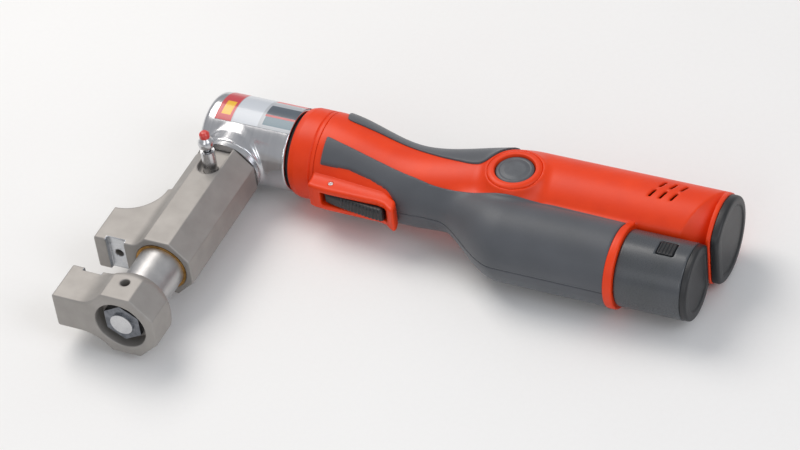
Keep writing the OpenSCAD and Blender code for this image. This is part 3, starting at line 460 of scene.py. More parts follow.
def section(x, y):
    # Height above the middle of the handle at one place, half its height there and half its width
    h = handle
    top = along(x, h["collarRadius"], h["waistTop"], h["rearTop"])
    bottom = -along(x, h["collarRadius"], h["waistBottom"], h["rearBottom"])
    half = along(x, h["collarRadius"], h["waistHalf"], h["rearHalf"])
    return y - (top + bottom) / 2, (top - bottom) / 2, half


def gripField(x, y, z):
    up, tall, half = section(x, y)
    share = np.sqrt((up / tall) ** 2 + (z / half) ** 2 + 1e-8)
    return share * (share - 1) / np.sqrt((up / tall ** 2) ** 2 + (z / half ** 2) ** 2 + 1e-11)


def tubeField(x, y, z):
    h = handle
    grown = ease((x - h["bulge"]) / (h["shoulder"] - h["bulge"]))
    radius = h["bulgeRadius"] + (h["tubeRadius"] - h["bulgeRadius"]) * grown
    axis = h["bulgeAxis"] + (h["batteryAxis"] - h["bulgeAxis"]) * grown
    return np.hypot(y - axis, z) - radius + h["bulgeSlope"] * np.maximum(h["bulge"] - x, 0)


def seatField(x, y, z):
    # Raised seat that carries the ring round the release button, on the left only
    h = handle
    away = np.hypot(x - h["buttonX"], y - h["buttonY"])
    cone = (away - h["seatRadius"] - (h["seatTop"] - z) * h["seatSlope"]) / math.hypot(1, h["seatSlope"])
    return np.maximum(smoothMax(cone, z - h["seatTop"], h["seatEdge"]), h["seatRoot"] - z)


def plainSkin(x, y, z):
    return smoothMin(gripField(x, y, z), tubeField(x, y, z), handle["tubeBlend"])


def skinField(x, y, z, leftSide):
    skin = plainSkin(x, y, z)
    return smoothMin(skin, seatField(x, y, z), handle["seatBlend"]) if leftSide else skin


# Motor housing halves with vents, heel and screw recesses
shell = {"seam": 0.5, "rim": 0.5, "rearBlend": 3.0, "rearEdge": 1.0, "overlap": 7.0, "flange": 298.4,
         "heelFront": 283.0, "heelBack": 297.0, "heelHigh": 19.0, "heelSlope": 0.75, "heelFade": 0.8,
         "heelWall": 1.8, "ventStart": 260.0, "ventPitch": 6.5, "ventRows": ((0.0, 2.0), (3.2, 11.0)),
         "ventCount": 3, "ventTilt": 70.0, "ventLength": 7.0, "ventWidth": 1.7, "ventRoot": 15.0,
         "triggerSlot": (64.5, 110.0), "slotHalf": 4.8, "slotTop": -21.0, "buttonHole": (16.2, 8, 40)}
screws = {"spots": ((66.0, 20.0), (121.0, 9.0), (126.0, -24.0), (236.0, 23.0), (284.0, 23.0)),
          "radius": 1.35, "headRadius": 2.8, "headFloor": 3.0, "post": 4.2, "reach": 3.2,
          "seat": 2.1, "shankEnd": 3.5, "head": (2.5, 1.8), "shank": 1.3, "socket": 1.3}


def heelDepth(x, y):
    # How deep the slanted facet cuts into the heel, which lies behind a ridge across the housing
    s = shell
    run, rise = s["heelBack"] - s["heelFront"], s["heelHigh"] - handle["floor"]
    ridge = s["heelFront"] + (y - handle["floor"]) * run / rise
    depth = s["heelSlope"] * np.maximum(x - ridge, 0)
    return depth * np.clip((s["flange"] - x) / s["heelFade"], 0, 1)


def sideDepth(x, y):
    # Distance from the seam to the skin at one place on the side of the handle
    up, tall, half = section(x, y)
    return half * np.sqrt(np.maximum(1 - (up / tall) ** 2, 0))


def screwDepth(spot):
    # The same over a whole screw post, so that the post stays below the skin
    return min(float(sideDepth(spot[0], spot[1] + reach)) for reach in (screws["reach"], -screws["reach"]))


def ventField(x, y):
    s = shell
    tilt, half = math.radians(s["ventTilt"]), s["ventWidth"] / 2
    c, n = math.cos(tilt), math.sin(tilt)
    vents = []
    for shift, rise in s["ventRows"]:
        for index in range(s["ventCount"]):
            u, v = x - s["ventStart"] - shift - index * s["ventPitch"], y - rise
            past = np.maximum(np.abs(u * c + v * n) - (s["ventLength"] / 2 - half), 0)
            vents.append(np.hypot(past, -u * n + v * c) - half)
    return anyOf(*vents)


def halfShell(leftSide):
    def shape(x, y, z):
        h, s = handle, shell
        z = z if leftSide else -z
        upper, tube = gripField(x, y, z), tubeField(x, y, z)
        skin = skinField(x, y, z, leftSide)
        heel = heelDepth(x, y)
        rear = smoothMax(upper + heel, h["floor"] - y, s["rearBlend"])
        rear = smoothMax(rear, x - h["rearWall"], s["rearEdge"])
        rear = np.maximum(rear, h["tubeMouth"] - s["overlap"] - x)
        outer = np.minimum(np.maximum(skin, x - h["tubeMouth"]), rear)
        outer = np.maximum(outer, h["collarEnd"] + 0.05 - x)
        slab = np.maximum(np.abs(y - h["floor"] - h["slab"] / 2) - h["slab"] / 2, h["shoulder"] - x)
        # The wall is thicker behind the heel, where the skin slants
        motorSpace = upper + heel + np.minimum(heel, s["heelWall"])
        hollow = np.minimum(motorSpace, np.maximum(tube, x - h["tubeMouth"])) + h["wall"]
        hollow = allOf(hollow, -slab, x - s["flange"] + s["heelFade"] + h["wall"])
        body = np.maximum(outer, -hollow)
        slot = allOf(between(x, *s["triggerSlot"]), y - s["slotTop"], z - s["slotHalf"])
        cuts = np.minimum(np.maximum(ventField(x, y), s["ventRoot"] - z), slot)
        if leftSide:
            cuts = np.minimum(cuts, rodField(x - h["buttonX"], y - h["buttonY"], z, *s["buttonHole"]))
        else:
            for spot in screws["spots"]:
                u, v, deep = x - spot[0], y - spot[1], screwDepth(spot) - screws["headFloor"]
                cuts = anyOf(cuts, rodField(u, v, z, screws["headRadius"], deep, 60),
                             rodField(u, v, z, screws["radius"], -5, 60))
                post = rodField(u, v, z, screws["post"], 0, deep + 1)
                body = np.minimum(body, np.maximum(post, outer + 1))
        body = smoothMax(body, -cuts, s["rim"])
        return smoothMax(body, 0.04 - z, s["seam"])
    return shape


for name, leftSide in (("housingLeft", True), ("housingRight", False)):
    deep = (0, 27.2) if leftSide else (-26.2, 0)
    standIn(carve(name, halfShell(leftSide), (56, -59, deep[0]), (301, 31, deep[1]), handle["cell"]),
            "handle", "orangeNylon", "housing_left" if leftSide else "housing_right")


def edgeLine(x, stops):
    # Height of a panel's edge at x, read from the stops and eased at each of them
    return sum(np.interp(x + reach, *stops) for reach in (-3.0, -1.5, 0.0, 1.5, 3.0)) / 5


# Soft covers: a belly panel that runs back under the battery tube, and a panel on the back of the grip.
# Their edges are heights above the handle axis, read at places along the handle.
covers = {"thick": 1.2, "root": 0.6, "round": 1.0, "start": 60.6, "end": 252.0, "cell": 0.8,
          "lift": 0.85, "aroundSeat": {"back": 17.2, "belly": 16.5},
          "bellyTop": ((56, 62.5, 75.6, 90, 112, 133, 160, 184.5, 205, 232, 258),
                       (-9.0, -10.2, -12.6, -15.2, -19.3, -22.3, -22.0, -19.9, -18.2, -18.9, -19.9)),
          "bellyLow": ((56, 79.7, 94, 106, 112, 116), (-23.2, -23.4, -25.6, -28.4, -31.5, -60)),
          "backLow": ((56, 61, 62.5, 64.5, 68, 87.6, 109.7, 132, 150, 157, 162, 167, 172),
                      (60, 26, 13, 8.6, 7.0, 5.4, 1.5, -3.0, -4.8, -3.6, 2.5, 14, 44))}


def coverShape(leftSide):
    def shape(x, y, z):
        c = covers
        z = z if leftSide else -z
        skin = skinField(x, y, z, leftSide)
        # The seat stands out of the skin. There the edge moves down, to pass below the ring in one sweep.
        lift = c["lift"] * np.clip(plainSkin(x, y, z) - c["thick"], 0, 9)
        belly = np.maximum(y + lift - edgeLine(x, c["bellyTop"]), np.interp(x, *c["bellyLow"]) - y)
        belly = np.maximum(belly, between(x, c["start"], c["end"]))
        back = edgeLine(x, c["backLow"]) - y
        if leftSide:
            away = np.hypot(x - handle["buttonX"], y - handle["buttonY"])
            back = np.maximum(back, c["aroundSeat"]["back"] - away)
            belly = np.maximum(belly, c["aroundSeat"]["belly"] - away)
        sheet = smoothMax(np.minimum(belly, back), skin - c["thick"], c["round"])
        return allOf(sheet, -skin - c["root"], 0.03 - z)
    return shape


for name, leftSide in (("gripCoverLeft", True), ("gripCoverRight", False)):
    deep = (0, 27.5) if leftSide else (-27.5, 0)
    standIn(carve(name, coverShape(leftSide), (59, -60, deep[0]), (254, 32, deep[1]), covers["cell"]),
            "handle", "overmouldRubber", "grip_left" if leftSide else "grip_right")

# Accent ring round the mouth of the battery tube
accent = {"from": 252.1, "to": 257.0, "thick": 1.6, "root": 0.5, "round": 1.2, "top": -17.8,
          "lean": 0.03, "leanFrom": -36.0, "cell": 0.55}


def accentShape(x, y, z):
    a = accent
    skin = skinField(x, y, z, False)
    lean = (y - a["leanFrom"]) * a["lean"]
    band = smoothMax(skin - a["thick"], between(x, a["from"] + lean, a["to"]), a["round"])
    return np.maximum(smoothMax(band, y - a["top"], 0.8), -skin - a["root"])


standIn(carve("accentRing", accentShape, (251, -61, -27), (257, -16, 27), accent["cell"]),
        "handle", "orangeNylon", "accent_ring")


# Turned pieces: an outline of places along the axis, radii and the rounding of each corner, spun round
cornerSteps = 6


def roundCorners(outline, closed):
    points = []
    count = len(outline)
    for index, (s, r, radius) in enumerate(outline):
        here = np.array([s, r], float)
        if radius <= 0 or (not closed and index in (0, count - 1)):
            points.append(here)
            continue
        before = np.array(outline[index - 1][:2], float) - here
        after = np.array(outline[(index + 1) % count][:2], float) - here
        before, after = before / np.linalg.norm(before), after / np.linalg.norm(after)
        turn = math.acos(np.clip(before @ after, -1, 1))
        reach = radius / math.tan(turn / 2)
        middle = here + (before + after) / np.linalg.norm(before + after) * radius / math.sin(turn / 2)
        first, last = here + before * reach - middle, here + after * reach - middle
        for step in range(cornerSteps + 1):
            part = first + (last - first) * step / cornerSteps
            points.append(middle + part / np.linalg.norm(part) * radius)
    return np.array(points)


def turned(name, outline, axis, centre, spin=96):
    closed = outline[0][1] > 0
    profile = roundCorners(outline, closed)
    angles = np.arange(spin) * 2 * math.pi / spin
    points = np.zeros((spin, len(profile), 3))
    u, v = (axis + 1) % 3, (axis + 2) % 3
    points[:, :, axis] = profile[:, 0]
    points[:, :, u] = profile[:, 1] * np.cos(angles)[:, None]
    points[:, :, v] = profile[:, 1] * np.sin(angles)[:, None]
    points += np.array(centre, float)
    last = len(profile) if closed else len(profile) - 1
    faces = []
    for ring in range(spin):
        for step in range(last):
            a, b = ring * len(profile) + step, ring * len(profile) + (step + 1) % len(profile)
            shift = ((ring + 1) % spin - ring) * len(profile)
            faces.append((a, b, b + shift, a + shift))
    return closeUp(meshObject(name, points.reshape(-1, 3), faces))


def closeUp(piece, sharp=40):
    work = bmesh.new()
    work.from_mesh(piece.data)
    bmesh.ops.remove_doubles(work, verts=work.verts, dist=1e-6)
    bmesh.ops.dissolve_degenerate(work, edges=work.edges, dist=1e-7)
    bmesh.ops.recalc_face_normals(work, faces=work.faces)
    work.to_mesh(piece.data)
    work.free()
    piece.data.shade_smooth()
    piece.data.set_sharp_from_angle(angle=math.radians(sharp))
    return piece


# Front collar of the handle, with a shallow groove behind it
collar = {"front": 38.3, "end": 56.0, "radius": 27.5, "bore": 21.05, "groove": 52.6}
front, groove, end, bore, wide = (collar[key] for key in ("front", "groove", "end", "bore", "radius"))
standIn(turned("frontCollar", [
    (front, bore, 0.4), (front, wide - 1.2, 2.2), (front + 4.5, wide, 3.0), (groove, wide, 0.8),
    (groove + 0.7, wide - 0.8, 0.3), (groove + 1.4, wide, 0.6), (end, wide, 0.2), (end, bore, 0.3)],
    0, (0, 0, 0), 128), "handle", "orangeNylon", "front_collar")

# Trigger guard: two cheeks that grow out of the belly and end in a hooked tip
guard = {"front": 56.15, "cheek": 8.8, "slotHalf": 4.8, "slot": (64.5, 108.5), "pin": (70.0, -30.5),
         "pinRadius": 1.51, "flare": 1.4, "flareFade": 1.2, "flareEnd": 112.0, "round": 2.2, "tip": 114.5,
         "tipLean": 0.25, "tipFrom": -38.0, "root": 1.5, "cell": 0.55,
         "top": ((56, 68, 79, 88, 99, 107, 112, 116),
                 (-21.0, -21.0, -21.5, -22.8, -26.0, -29.2, -32.0, -36.0)),
         "low": ((56, 60, 70, 94, 102, 107, 110.5, 113, 116),
                 (-34.5, -35.6, -36.3, -36.3, -36.2, -37.2, -39.8, -41.0, -41.0))}


def guardShape(x, y, z):
    g = guard
    skin = gripField(x, y, z)
    side = between(y, np.interp(x, *g["low"]), np.interp(x, *g["top"]))
    tip = x - g["tip"] + g["tipLean"] * np.maximum(y - g["tipFrom"], 0)
    side = smoothMax(side, np.maximum(g["front"] - x, tip), 1.4)
    flare = g["flare"] * np.exp(-np.maximum(skin, 0) / g["flareFade"])
    flare = flare * np.clip((g["flareEnd"] - x) / 10, 0, 1)
    body = smoothMax(side, np.abs(z) - g["cheek"] - flare, g["round"])
    slot = blockField(x, y, z, (g["slot"][0], -60, -g["slotHalf"]), (g["slot"][1], 0, g["slotHalf"]), 1.0)
    body = smoothMax(body, -slot, 0.9)
    pin = np.hypot(x - g["pin"][0], y - g["pin"][1]) - g["pinRadius"]
    return np.maximum(smoothMax(body, -pin, 0.3), -skin - g["root"])


standIn(carve("triggerGuard", guardShape, (56, -41, -12.5), (115, -20, 12.5), guard["cell"]),
        "handle", "orangeNylon", "trigger_guard")

# Trigger: a smooth finger lever with a ribbed face
lever = {"pin": (70.0, -30.5), "pinRadius": 1.55, "half": 4.5, "round": 2.6, "front": 66.0, "end": 107.0,
         "rib": 0.25, "ribPitch": 2.4, "ribStart": 76.0, "ribFade": 3.0, "cell": 0.45,
         "top": ((66, 70, 74, 84, 94, 104, 107), (-28.6, -27.2, -26.6, -27.0, -29.5, -33.2, -36.5)),
         "low": ((66, 67, 74, 84, 98, 106, 107), (-32.0, -34.4, -36.0, -37.5, -39.4, -39.9, -38.0))}


def leverShape(x, y, z):
    t = lever
    ribs = t["rib"] * np.cos(x * 2 * math.pi / t["ribPitch"])
    low = np.interp(x, *t["low"]) + ribs * np.clip((x - t["ribStart"]) / t["ribFade"], 0, 1)
    body = smoothMax(y - np.interp(x, *t["top"]), low - y, 1.2)
    body = smoothMax(body, between(x, t["front"], t["end"]), 1.8)
    body = smoothMax(body, np.abs(z) - t["half"], t["round"])
    return smoothMax(body, t["pinRadius"] - np.hypot(x - t["pin"][0], y - t["pin"][1]), 0.3)


standIn(carve("triggerLever", leverShape, (66, -40, -4.5), (107, -26, 4.5), lever["cell"]),
        "trigger", "blackNylon", "trigger")

# Release button and the ring round it
button = {"radius": 11.4, "top": 26.9, "height": 7.5, "ringOuter": 16.4, "ringInner": 11.8, "ringTop": 27.4,
          "ringLow": 15.5}
buttonSpot = (handle["buttonX"], handle["buttonY"], 0)
top, low, wide = button["top"], button["top"] - button["height"], button["radius"]
standIn(turned("releaseButton", [
    (low, 0, 0), (low, wide, 0.5), (top - 1.0, wide, 0.8), (top - 0.25, wide - 1.6, 1.6),
    (top - 0.55, wide - 2.6, 0.8), (top - 0.1, wide - 5.0, 3.0), (top, 0, 0)], 2, buttonSpot),
    "release_button", "buttonNylon", "release_button")
top, low, outer, inner = (button[key] for key in ("ringTop", "ringLow", "ringOuter", "ringInner"))
standIn(turned("buttonRing", [
    (low, 0, 0), (low, outer, 0.5), (top - 0.9, outer, 1.5), (top, outer - 2.0, 1.6),
    (top, inner + 0.5, 0.7), (top - 1.6, inner, 0.4), (low + 1.2, inner, 0.4), (low + 1.2, 0, 0)],
    2, buttonSpot), "handle", "orangeNylon", "button_bezel")

# Rear bumper: a soft plate with a rounded rim
bumper = {"from": 301.05, "to": 306.0, "inset": 0.8, "round": 2.2, "blend": 3.0, "rim": 5.0,
          "rimLow": 6.5, "dish": 0.8, "cell": 0.7}


def bumperShape(x, y, z):
    b = bumper
    rim = smoothMax(gripField(x, y, z) + b["inset"], handle["floor"] + b["inset"] - y, b["blend"])
    body = smoothMax(rim, x - b["to"], b["round"])
    panel = smoothMax(rim + b["rim"], handle["floor"] + b["rimLow"] - y, b["blend"])
    panel = np.maximum(panel, b["to"] - b["dish"] - x)
    return np.maximum(smoothMax(body, -panel, 0.6), b["from"] - x)


standIn(carve("rearBumper", bumperShape, (301, -18, -25.5), (306, 30.5, 25.5), bumper["cell"]),
        "handle", "blackNylon", "rear_bumper")

# Battery: a plug inside the tube, a thicker body behind it, and two latch windows
battery = {"axis": -35.5, "plugFront": 189.0, "plugRadius": 20.85, "shoulder": 257.3, "radius": 22.4,
           "end": 296.5, "flat": -19.0, "flatEdge": 1.6, "edge": 0.9, "window": (277.2, 287.8),
           "windowHalf": 5.3, "pocket": 16.1, "cell": 0.75}


def batteryShape(x, y, z):
    b = battery
    around = np.hypot(y - b["axis"], z)
    plug = np.maximum(smoothMax(around - b["plugRadius"], b["plugFront"] - x, 1.0), x - b["shoulder"] - 3)
    body = smoothMax(around - b["radius"], b["shoulder"] - x, b["edge"])
    body = smoothMax(body, x - b["end"], 0.5)
    shape = smoothMax(np.minimum(plug, body), y - b["flat"], b["flatEdge"])
    window = blockField(x, y, z, (b["window"][0], b["axis"] - b["windowHalf"], -40),
                        (b["window"][1], b["axis"] + b["windowHalf"], 40), 0.6)
    return smoothMax(shape, -np.maximum(window, b["pocket"] - np.abs(z)), 0.5)


standIn(carve("batteryShell", batteryShape, (189, -58, -22.5), (296.5, -19, 22.5), battery["cell"]),
        "battery", "batteryAbs", "battery_shell")


# End cap with a shallow dish
cap = {"inset": 0.3, "flatInset": 0.2, "thick": 4.0, "dishRadius": 16.5, "dishTop": -24.0, "dishFloor": 3.3,
       "cell": 0.6}


def capShape(x, y, z):
    b, c = battery, cap
    around = np.hypot(y - b["axis"], z)
    plate = smoothMax(around - b["radius"] + c["inset"], x - b["end"] - c["thick"], b["flatEdge"])
    plate = smoothMax(plate, y - b["flat"] + c["flatInset"], b["flatEdge"])
    dish = allOf(around - c["dishRadius"], y - c["dishTop"], b["end"] + c["dishFloor"] - x)
    return np.maximum(smoothMax(plate, -dish, 0.8), b["end"] + 0.02 - x)


standIn(carve("batteryCap", capShape, (296.5, -58, -22.1), (300.5, -19, 22.1), cap["cell"]),
        "battery", "blackNylon", "battery_cap")


# Latches: ribbed pads that follow the round of the battery
latch = {"low": (277.6, -40.4, 18.4), "high": (287.4, -30.6, 30.0), "edge": 0.7, "crown": 22.9, "top": 22.6,
         "rib": 0.3, "ribPitch": 2.0, "middle": 282.5, "cell": 0.35}


def latchShape(leftSide):
    def shape(x, y, z):
        c = latch
        z = z if leftSide else -z
        crown = np.sqrt(np.maximum(c["crown"] ** 2 - (y - battery["axis"]) ** 2, 1))
        ribs = c["rib"] * np.cos((x - c["middle"]) * 2 * math.pi / c["ribPitch"])
        body = blockField(x, y, z, c["low"], c["high"], c["edge"])
        return smoothMax(body, z - np.minimum(crown, c["top"]) - ribs + c["rib"], 0.5)
    return shape


for name, leftSide in (("latchLeft", True), ("latchRight", False)):
    deep = (18.4, 23) if leftSide else (-23, -18.4)
    node = "latch_left" if leftSide else "latch_right"
    standIn(carve(name, latchShape(leftSide), (277.5, -40.5, deep[0]), (287.5, -30.5, deep[1]), latch["cell"]),
            node, "blackNylon", node)

# Index knob: a polished ball with a red enamelled tip
knob = {"y": -47.0, "ball": 4.75, "ballZ": 36.25, "tip": 3.1, "top": 45.0, "stem": 1.81}
ball = [(knob["ballZ"] - knob["ball"] * math.cos(a), knob["ball"] * math.sin(a), 0)
        for a in [math.radians(24 + 6.5 * i) for i in range(18)]]
standIn(turned("knobBall", [(ball[0][0], knob["stem"], 0)] + ball + [
    (40.6, knob["tip"] - 0.5, 0.3), (42.0, knob["tip"] - 0.5, 0.2), (42.0, knob["stem"], 0)],
    2, (0, knob["y"], 0), 48), "index_pin", "turnedSteel", "pin_knob")
knobTip = turned("knobTip", [(40.9, 0, 0), (40.9, knob["tip"], 0.3), (43.6, knob["tip"], 1.2),
                             (knob["top"], knob["tip"] - 1.3, 0.9), (knob["top"], 0, 0)], 2,
                 (0, knob["y"], 0), 48)
knobTip.data.materials.append(materials["redEnamel"])
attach(knobTip, "index_pin")

# Label: a thin printed foil bent round the head, with coloured fields and no lettering. Its fields from 15.6
# mm back are painted reflections: streaks of red, dark grey and blue-grey along the polished head.
label = {"x": (-14.0, 36.0), "angle": (-46.0, 117.0), "radius": 25.54, "thick": 0.3, "steps": (50, 64)}
printAndReflectionFields = [  # along the head in millimetres, round it in degrees from the back, colour
    # The first three fields are print. The five that start at 15.6 to 17.0 mm are painted reflections: streaks
    # of red, dark grey and blue-grey as the polished head would mirror them.
    ((-14.0, -3.2), (30.0, 117.0), "#c23a42"), ((-11.0, -5.0), (84.0, 108.0), "#e6b21e"),
    ((-2.6, 14.4), (8.0, 116.0), "#c3c8cf"), ((15.6, 36.0), (36.0, 60.0), "#d42a2a"),
    ((16.4, 36.0), (74.0, 94.5), "#4f5963"), ((16.4, 36.0), (94.5, 98.0), "#b4434a"),
    ((17.0, 36.0), (98.0, 112.0), "#55717f"), ((15.6, 36.0), (-30.0, -8.0), "#4f5963"),
]


def bentSheet(name, sheet):
    places = np.linspace(*sheet["x"], sheet["steps"][0])
    angles = np.radians(np.linspace(*sheet["angle"], sheet["steps"][1]))
    rows, columns = len(places), len(angles)
    points, faces, rims = [], [], []
    for radius in (sheet["radius"], sheet["radius"] + sheet["thick"]):
        points += [(x, radius * math.cos(a), radius * math.sin(a)) for x in places for a in angles]
    layer = rows * columns
    for i in range(rows - 1):
        for j in range(columns - 1):
            a = i * columns + j
            faces += [(a, a + 1, a + columns + 1, a + columns),
                      (layer + a, layer + a + columns, layer + a + columns + 1, layer + a + 1)]
    for j in range(columns - 1):
        far = (rows - 1) * columns + j
        rims += [(j, j + 1), (far, far + 1)]
    for i in range(rows - 1):
        a, b = i * columns, (i + 1) * columns - 1
        rims += [(a, a + columns), (b, b + columns)]
    faces += [(a, b, layer + b, layer + a) for a, b in rims]
    piece = meshObject(name, points, faces)
    printMap = piece.data.uv_layers.new(name="print")
    for loop in piece.data.loops:
        x, y, z = np.array(piece.data.vertices[loop.vertex_index].co) * 1000 - crossing
        printMap.data[loop.index].uv = (x, math.degrees(math.atan2(z, y)))
    return closeUp(piece)


def foilPrintAndPaintedReflections():
    # Satin white vinyl with screen-printed fields at the front and painted reflection streaks behind them,
    # read from the sheet's own map in millimetres and degrees
    material, tree, shader = startMaterial("vinylPrintAndPaintedReflections", {"Coat Weight": 0.4, "IOR": 1.5})
    place = addNode(tree, "ShaderNodeUVMap", uv_map="print").outputs["UV"]
    parts = addNode(tree, "ShaderNodeSeparateXYZ", links={0: place})
    grain = addNode(tree, "ShaderNodeTexNoise", {"Scale": 2.5, "Detail": 2.0}, {"Vector": place})
    rough = addNode(tree, "ShaderNodeMapRange", {**noiseSpan, "To Min": 0.26, "To Max": 0.36},
                    {"Value": grain.outputs["Fac"]})
    colour = addNode(tree, "ShaderNodeMix", {6: toLinear("#a9adb3"), 7: toLinear("#b1b5ba")},
                     {0: grain.outputs["Fac"]}, data_type="RGBA").outputs[2]
    # Each field is laid over the foil colour in turn, the printed fields and the painted reflection streaks
    # alike
    for span, arc, tint in printAndReflectionFields:
        inside = None
        for part, (low, high) in ((0, span), (1, arc)):
            for level, test in ((low, "GREATER_THAN"), (high, "LESS_THAN")):
                mask = addNode(tree, "ShaderNodeMath", {1: level}, {0: parts.outputs[part]}, operation=test)
                if inside:
                    mask = addNode(tree, "ShaderNodeMath", links={0: inside, 1: mask.outputs[0]},
                                   operation="MULTIPLY")
                inside = mask.outputs[0]
        colour = addNode(tree, "ShaderNodeMix", {7: toLinear(tint)}, {0: inside, 6: colour},
                         data_type="RGBA").outputs[2]
    tree.links.new(colour, shader.inputs["Base Color"])
    tree.links.new(rough.outputs["Result"], shader.inputs["Roughness"])
    return material


materials["vinylPrintAndPaintedReflections"] = foilPrintAndPaintedReflections()
standIn(bentSheet("headLabel", label), "head", "vinylPrintAndPaintedReflections", "head_label")


# Geometry Nodes: wire coils, and the screws that join the housing halves
def startTree(name, inputs):
    tree = bpy.data.node_groups.new(name, "GeometryNodeTree")
    tree.interface.new_socket("Geometry", in_out="OUTPUT", socket_type="NodeSocketGeometry")
    tree.interface.new_socket("Geometry", in_out="INPUT", socket_type="NodeSocketGeometry")
    for key, kind in inputs.items():
        tree.interface.new_socket(key, in_out="INPUT", socket_type=kind)
    return tree, addNode(tree, "NodeGroupInput").outputs


def endTree(tree, geometry, finish):
    smooth = addNode(tree, "GeometryNodeSetShadeSmooth", links={"Geometry": geometry})
    solid = addNode(tree, "GeometryNodeRealizeInstances", links={"Geometry": smooth.outputs[0]})
    named = addNode(tree, "GeometryNodeSetMaterial",
                    links={"Geometry": solid.outputs[0], "Material": finish})
    addNode(tree, "NodeGroupOutput", links={"Geometry": named.outputs[0]})
    return tree


def grow(name, tree, values, start=None, turn=None):
    # Runs a tree on a starting mesh, keeps the result as a plain mesh and puts it in its place
    base = bpy.data.objects.new(name, start or bpy.data.meshes.new(name + "Start"))
    bpy.context.scene.collection.objects.link(base)
    modifier = base.modifiers.new(name, "NODES")
    modifier.node_group = tree
    for item in tree.interface.items_tree:
        if item.in_out == "INPUT" and item.name in values:
            modifier[item.identifier] = values[item.name]
    mesh = bpy.data.meshes.new_from_object(base.evaluated_get(bpy.context.evaluated_depsgraph_get()))
    base.modifiers.clear()
    base.data = mesh
    if turn:
        mesh.transform(turn)
    return closeUp(base, 50)


def coilTree():
    tree, given = startTree("wireCoil", {"Turns": "NodeSocketFloat", "Radius": "NodeSocketFloat",
                                         "Wire": "NodeSocketFloat", "Height": "NodeSocketFloat",
                                         "Finish": "NodeSocketMaterial"})
    path = addNode(tree, "GeometryNodeCurveSpiral", {"Resolution": 28},
                   {"Rotations": given["Turns"], "Start Radius": given["Radius"],
                    "End Radius": given["Radius"], "Height": given["Height"]})
    ring = addNode(tree, "GeometryNodeCurvePrimitiveCircle", {"Resolution": 10}, {"Radius": given["Wire"]})
    wire = addNode(tree, "GeometryNodeCurveToMesh", {"Fill Caps": True},
                   {"Curve": path.outputs[0], "Profile Curve": ring.outputs[0]})
    return endTree(tree, wire.outputs[0], given["Finish"])


wireCoil = coilTree()
springs = [  # name, body, node, start, axis, radius, wire, length, turns
    ("returnSpring", "block", "return_spring", (0, -60.2, 0), "-Y", 11.0, 1.25, 37.1, 5),
    ("pinSpring", "block", "pin_spring", (0, -47.0, 15.15), "+Z", 2.53, 0.25, 12.95, 8),
    ("plungerSpring", "handle", "plunger_spring", (100.0, -13.8, 0), "-Y", 1.9, 0.3, 3.6, 3),
    ("triggerSpring", "handle", "trigger_spring", (97.0, -19.1, 0), "-Y", 2.0, 0.35, 10.2, 6),
    ("buttonSpring", "handle", "button_spring", (178.0, -4.0, 16.8), "+Z", 6.0, 0.3, 2.5, 2),
]
for name, body, node, start, axis, radius, wire, length, turns in springs:
    turn = Matrix.Translation(toRow(start).tolist())
    if axis == "-Y":
        turn = turn @ Matrix.Rotation(math.radians(90), 4, "X")
    turn = turn @ Matrix.Translation((0, 0, wire / 1000))
    values = {"Turns": float(turns), "Radius": radius / 1000, "Wire": wire / 1000,
              "Height": (length - 2 * wire) / 1000, "Finish": materials["springSteel"]}
    standIn(grow(name, wireCoil, values, turn=turn), body, "springSteel", node)


def screwTree():
    sizes = ("Head radius", "Head height", "Shank radius", "Recess")
    tree, given = startTree("sunkScrews", {**{key: "NodeSocketFloat" for key in sizes},
                                           "Finish": "NodeSocketMaterial"})
    reach = addNode(tree, "GeometryNodeInputNamedAttribute", {"Name": "reach"}, data_type="FLOAT")
    head = addNode(tree, "GeometryNodeMeshCylinder", {"Vertices": 32},
                   {"Radius": given["Head radius"], "Depth": given["Head height"]}, fill_type="NGON")
    recess = addNode(tree, "GeometryNodeMeshCylinder", {"Vertices": 6},
                     {"Radius": given["Recess"], "Depth": given["Head height"]}, fill_type="NGON")
    lift = addNode(tree, "ShaderNodeMath", {1: -0.6}, {0: given["Head height"]}, operation="MULTIPLY")
    down = addNode(tree, "ShaderNodeCombineXYZ", links={2: lift.outputs[0]})
    sunk = addNode(tree, "GeometryNodeTransform",
                   links={"Geometry": recess.outputs["Mesh"], "Translation": down.outputs[0]})
    cut = addNode(tree, "GeometryNodeMeshBoolean",
                  links={"Mesh 1": head.outputs["Mesh"], "Mesh 2": sunk.outputs[0]}, operation="DIFFERENCE")
    # The shank is drawn 1 m long and scaled to the reach of each point
    shank = addNode(tree, "GeometryNodeMeshCylinder", {"Vertices": 20, "Depth": 1.0},
                    {"Radius": given["Shank radius"]}, fill_type="NGON")
    middle = addNode(tree, "GeometryNodeTransform", {"Translation": (0, 0, 0.5)},
                     {"Geometry": shank.outputs["Mesh"]})
    size = addNode(tree, "ShaderNodeCombineXYZ", {0: 1.0, 1: 1.0}, {2: reach.outputs["Attribute"]})
    heads = addNode(tree, "GeometryNodeInstanceOnPoints",
                    links={"Points": given["Geometry"], "Instance": cut.outputs[0]})
    shanks = addNode(tree, "GeometryNodeInstanceOnPoints",
                     links={"Points": given["Geometry"], "Instance": middle.outputs[0],
                            "Scale": size.outputs[0]})
    both = addNode(tree, "GeometryNodeJoinGeometry")
    tree.links.new(heads.outputs[0], both.inputs[0])
    tree.links.new(shanks.outputs[0], both.inputs[0])
    return endTree(tree, both.outputs[0], given["Finish"])


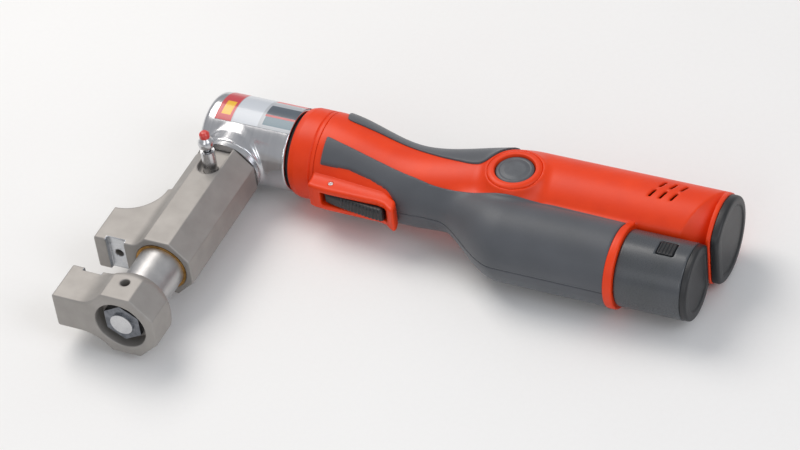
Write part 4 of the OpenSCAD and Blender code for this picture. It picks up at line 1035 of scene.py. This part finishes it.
starts = bpy.data.meshes.new("screwSpots")
depths = [screwDepth(spot) for spot in screws["spots"]]
heads = [(x, y, -(deep - screws["seat"])) for (x, y), deep in zip(screws["spots"], depths)]
starts.from_pydata(toRow(heads).tolist(), [], [])
reaches = [(deep + screws["shankEnd"]) / 1000 for deep in depths]
starts.attributes.new("reach", "FLOAT", "POINT").data.foreach_set("value", reaches)
values = {"Head radius": screws["head"][0] / 1000, "Head height": screws["head"][1] / 1000,
          "Shank radius": screws["shank"] / 1000, "Recess": screws["socket"] / 1000,
          "Finish": materials["blackOxideSteel"]}
standIn(grow("housingScrews", screwTree(), values, starts), "handle", "blackOxideSteel", "housing_screws")

# Floor, world and lamps
floorPaint = {"light": "#f1f1f0", "dark": "#ecebea", "rough": (0.6, 0.75), "ior": 1.45, "patch": 400,
              "grain": 3, "relief": 0.02, "strength": 0.1}
mesh = bpy.data.meshes.new("floor")
mesh.from_pydata([(-6, -6, 0), (6, -6, 0), (6, 6, 0), (-6, 6, 0)], [], [(0, 1, 2, 3)])
floor = bpy.data.objects.new("floor", mesh)
bpy.context.scene.collection.objects.link(floor)
floor.data.materials.append(surface("paleStudioPaint", floorPaint))
floor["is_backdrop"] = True

studio = {
    "sky": ("#e4e6ea", 0.58),
    "lamps": [  # place, size, watts, colour
        ((-0.9, 0.5, 1.5), 1.1, 18.0, "#fffaf4"),
        ((1.3, -0.3, 1.2), 0.9, 7.0, "#f4f8ff"),
        ((0.1, -1.6, 1.0), 0.8, 4.0, "#ffffff"),
    ],
}
world = bpy.data.worlds.new("studio")
bpy.context.scene.world = world
world.use_nodes = True
backdrop = world.node_tree.nodes["Background"]
backdrop.inputs["Color"].default_value = toLinear(studio["sky"][0])
backdrop.inputs["Strength"].default_value = studio["sky"][1]
for index, (spot, size, power, tint) in enumerate(studio["lamps"]):
    lamp = bpy.data.lights.new("lamp%d" % index, "AREA")
    lamp.size, lamp.energy, lamp.color = size, power, toLinear(tint)[:3]
    holder = bpy.data.objects.new(lamp.name, lamp)
    bpy.context.scene.collection.objects.link(holder)
    holder.location = spot
    holder.rotation_euler = (Vector((0, 0, 0.02)) - Vector(spot)).to_track_quat("-Z", "Y").to_euler()
bpy.context.scene.view_settings.view_transform = "Standard"

low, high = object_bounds()
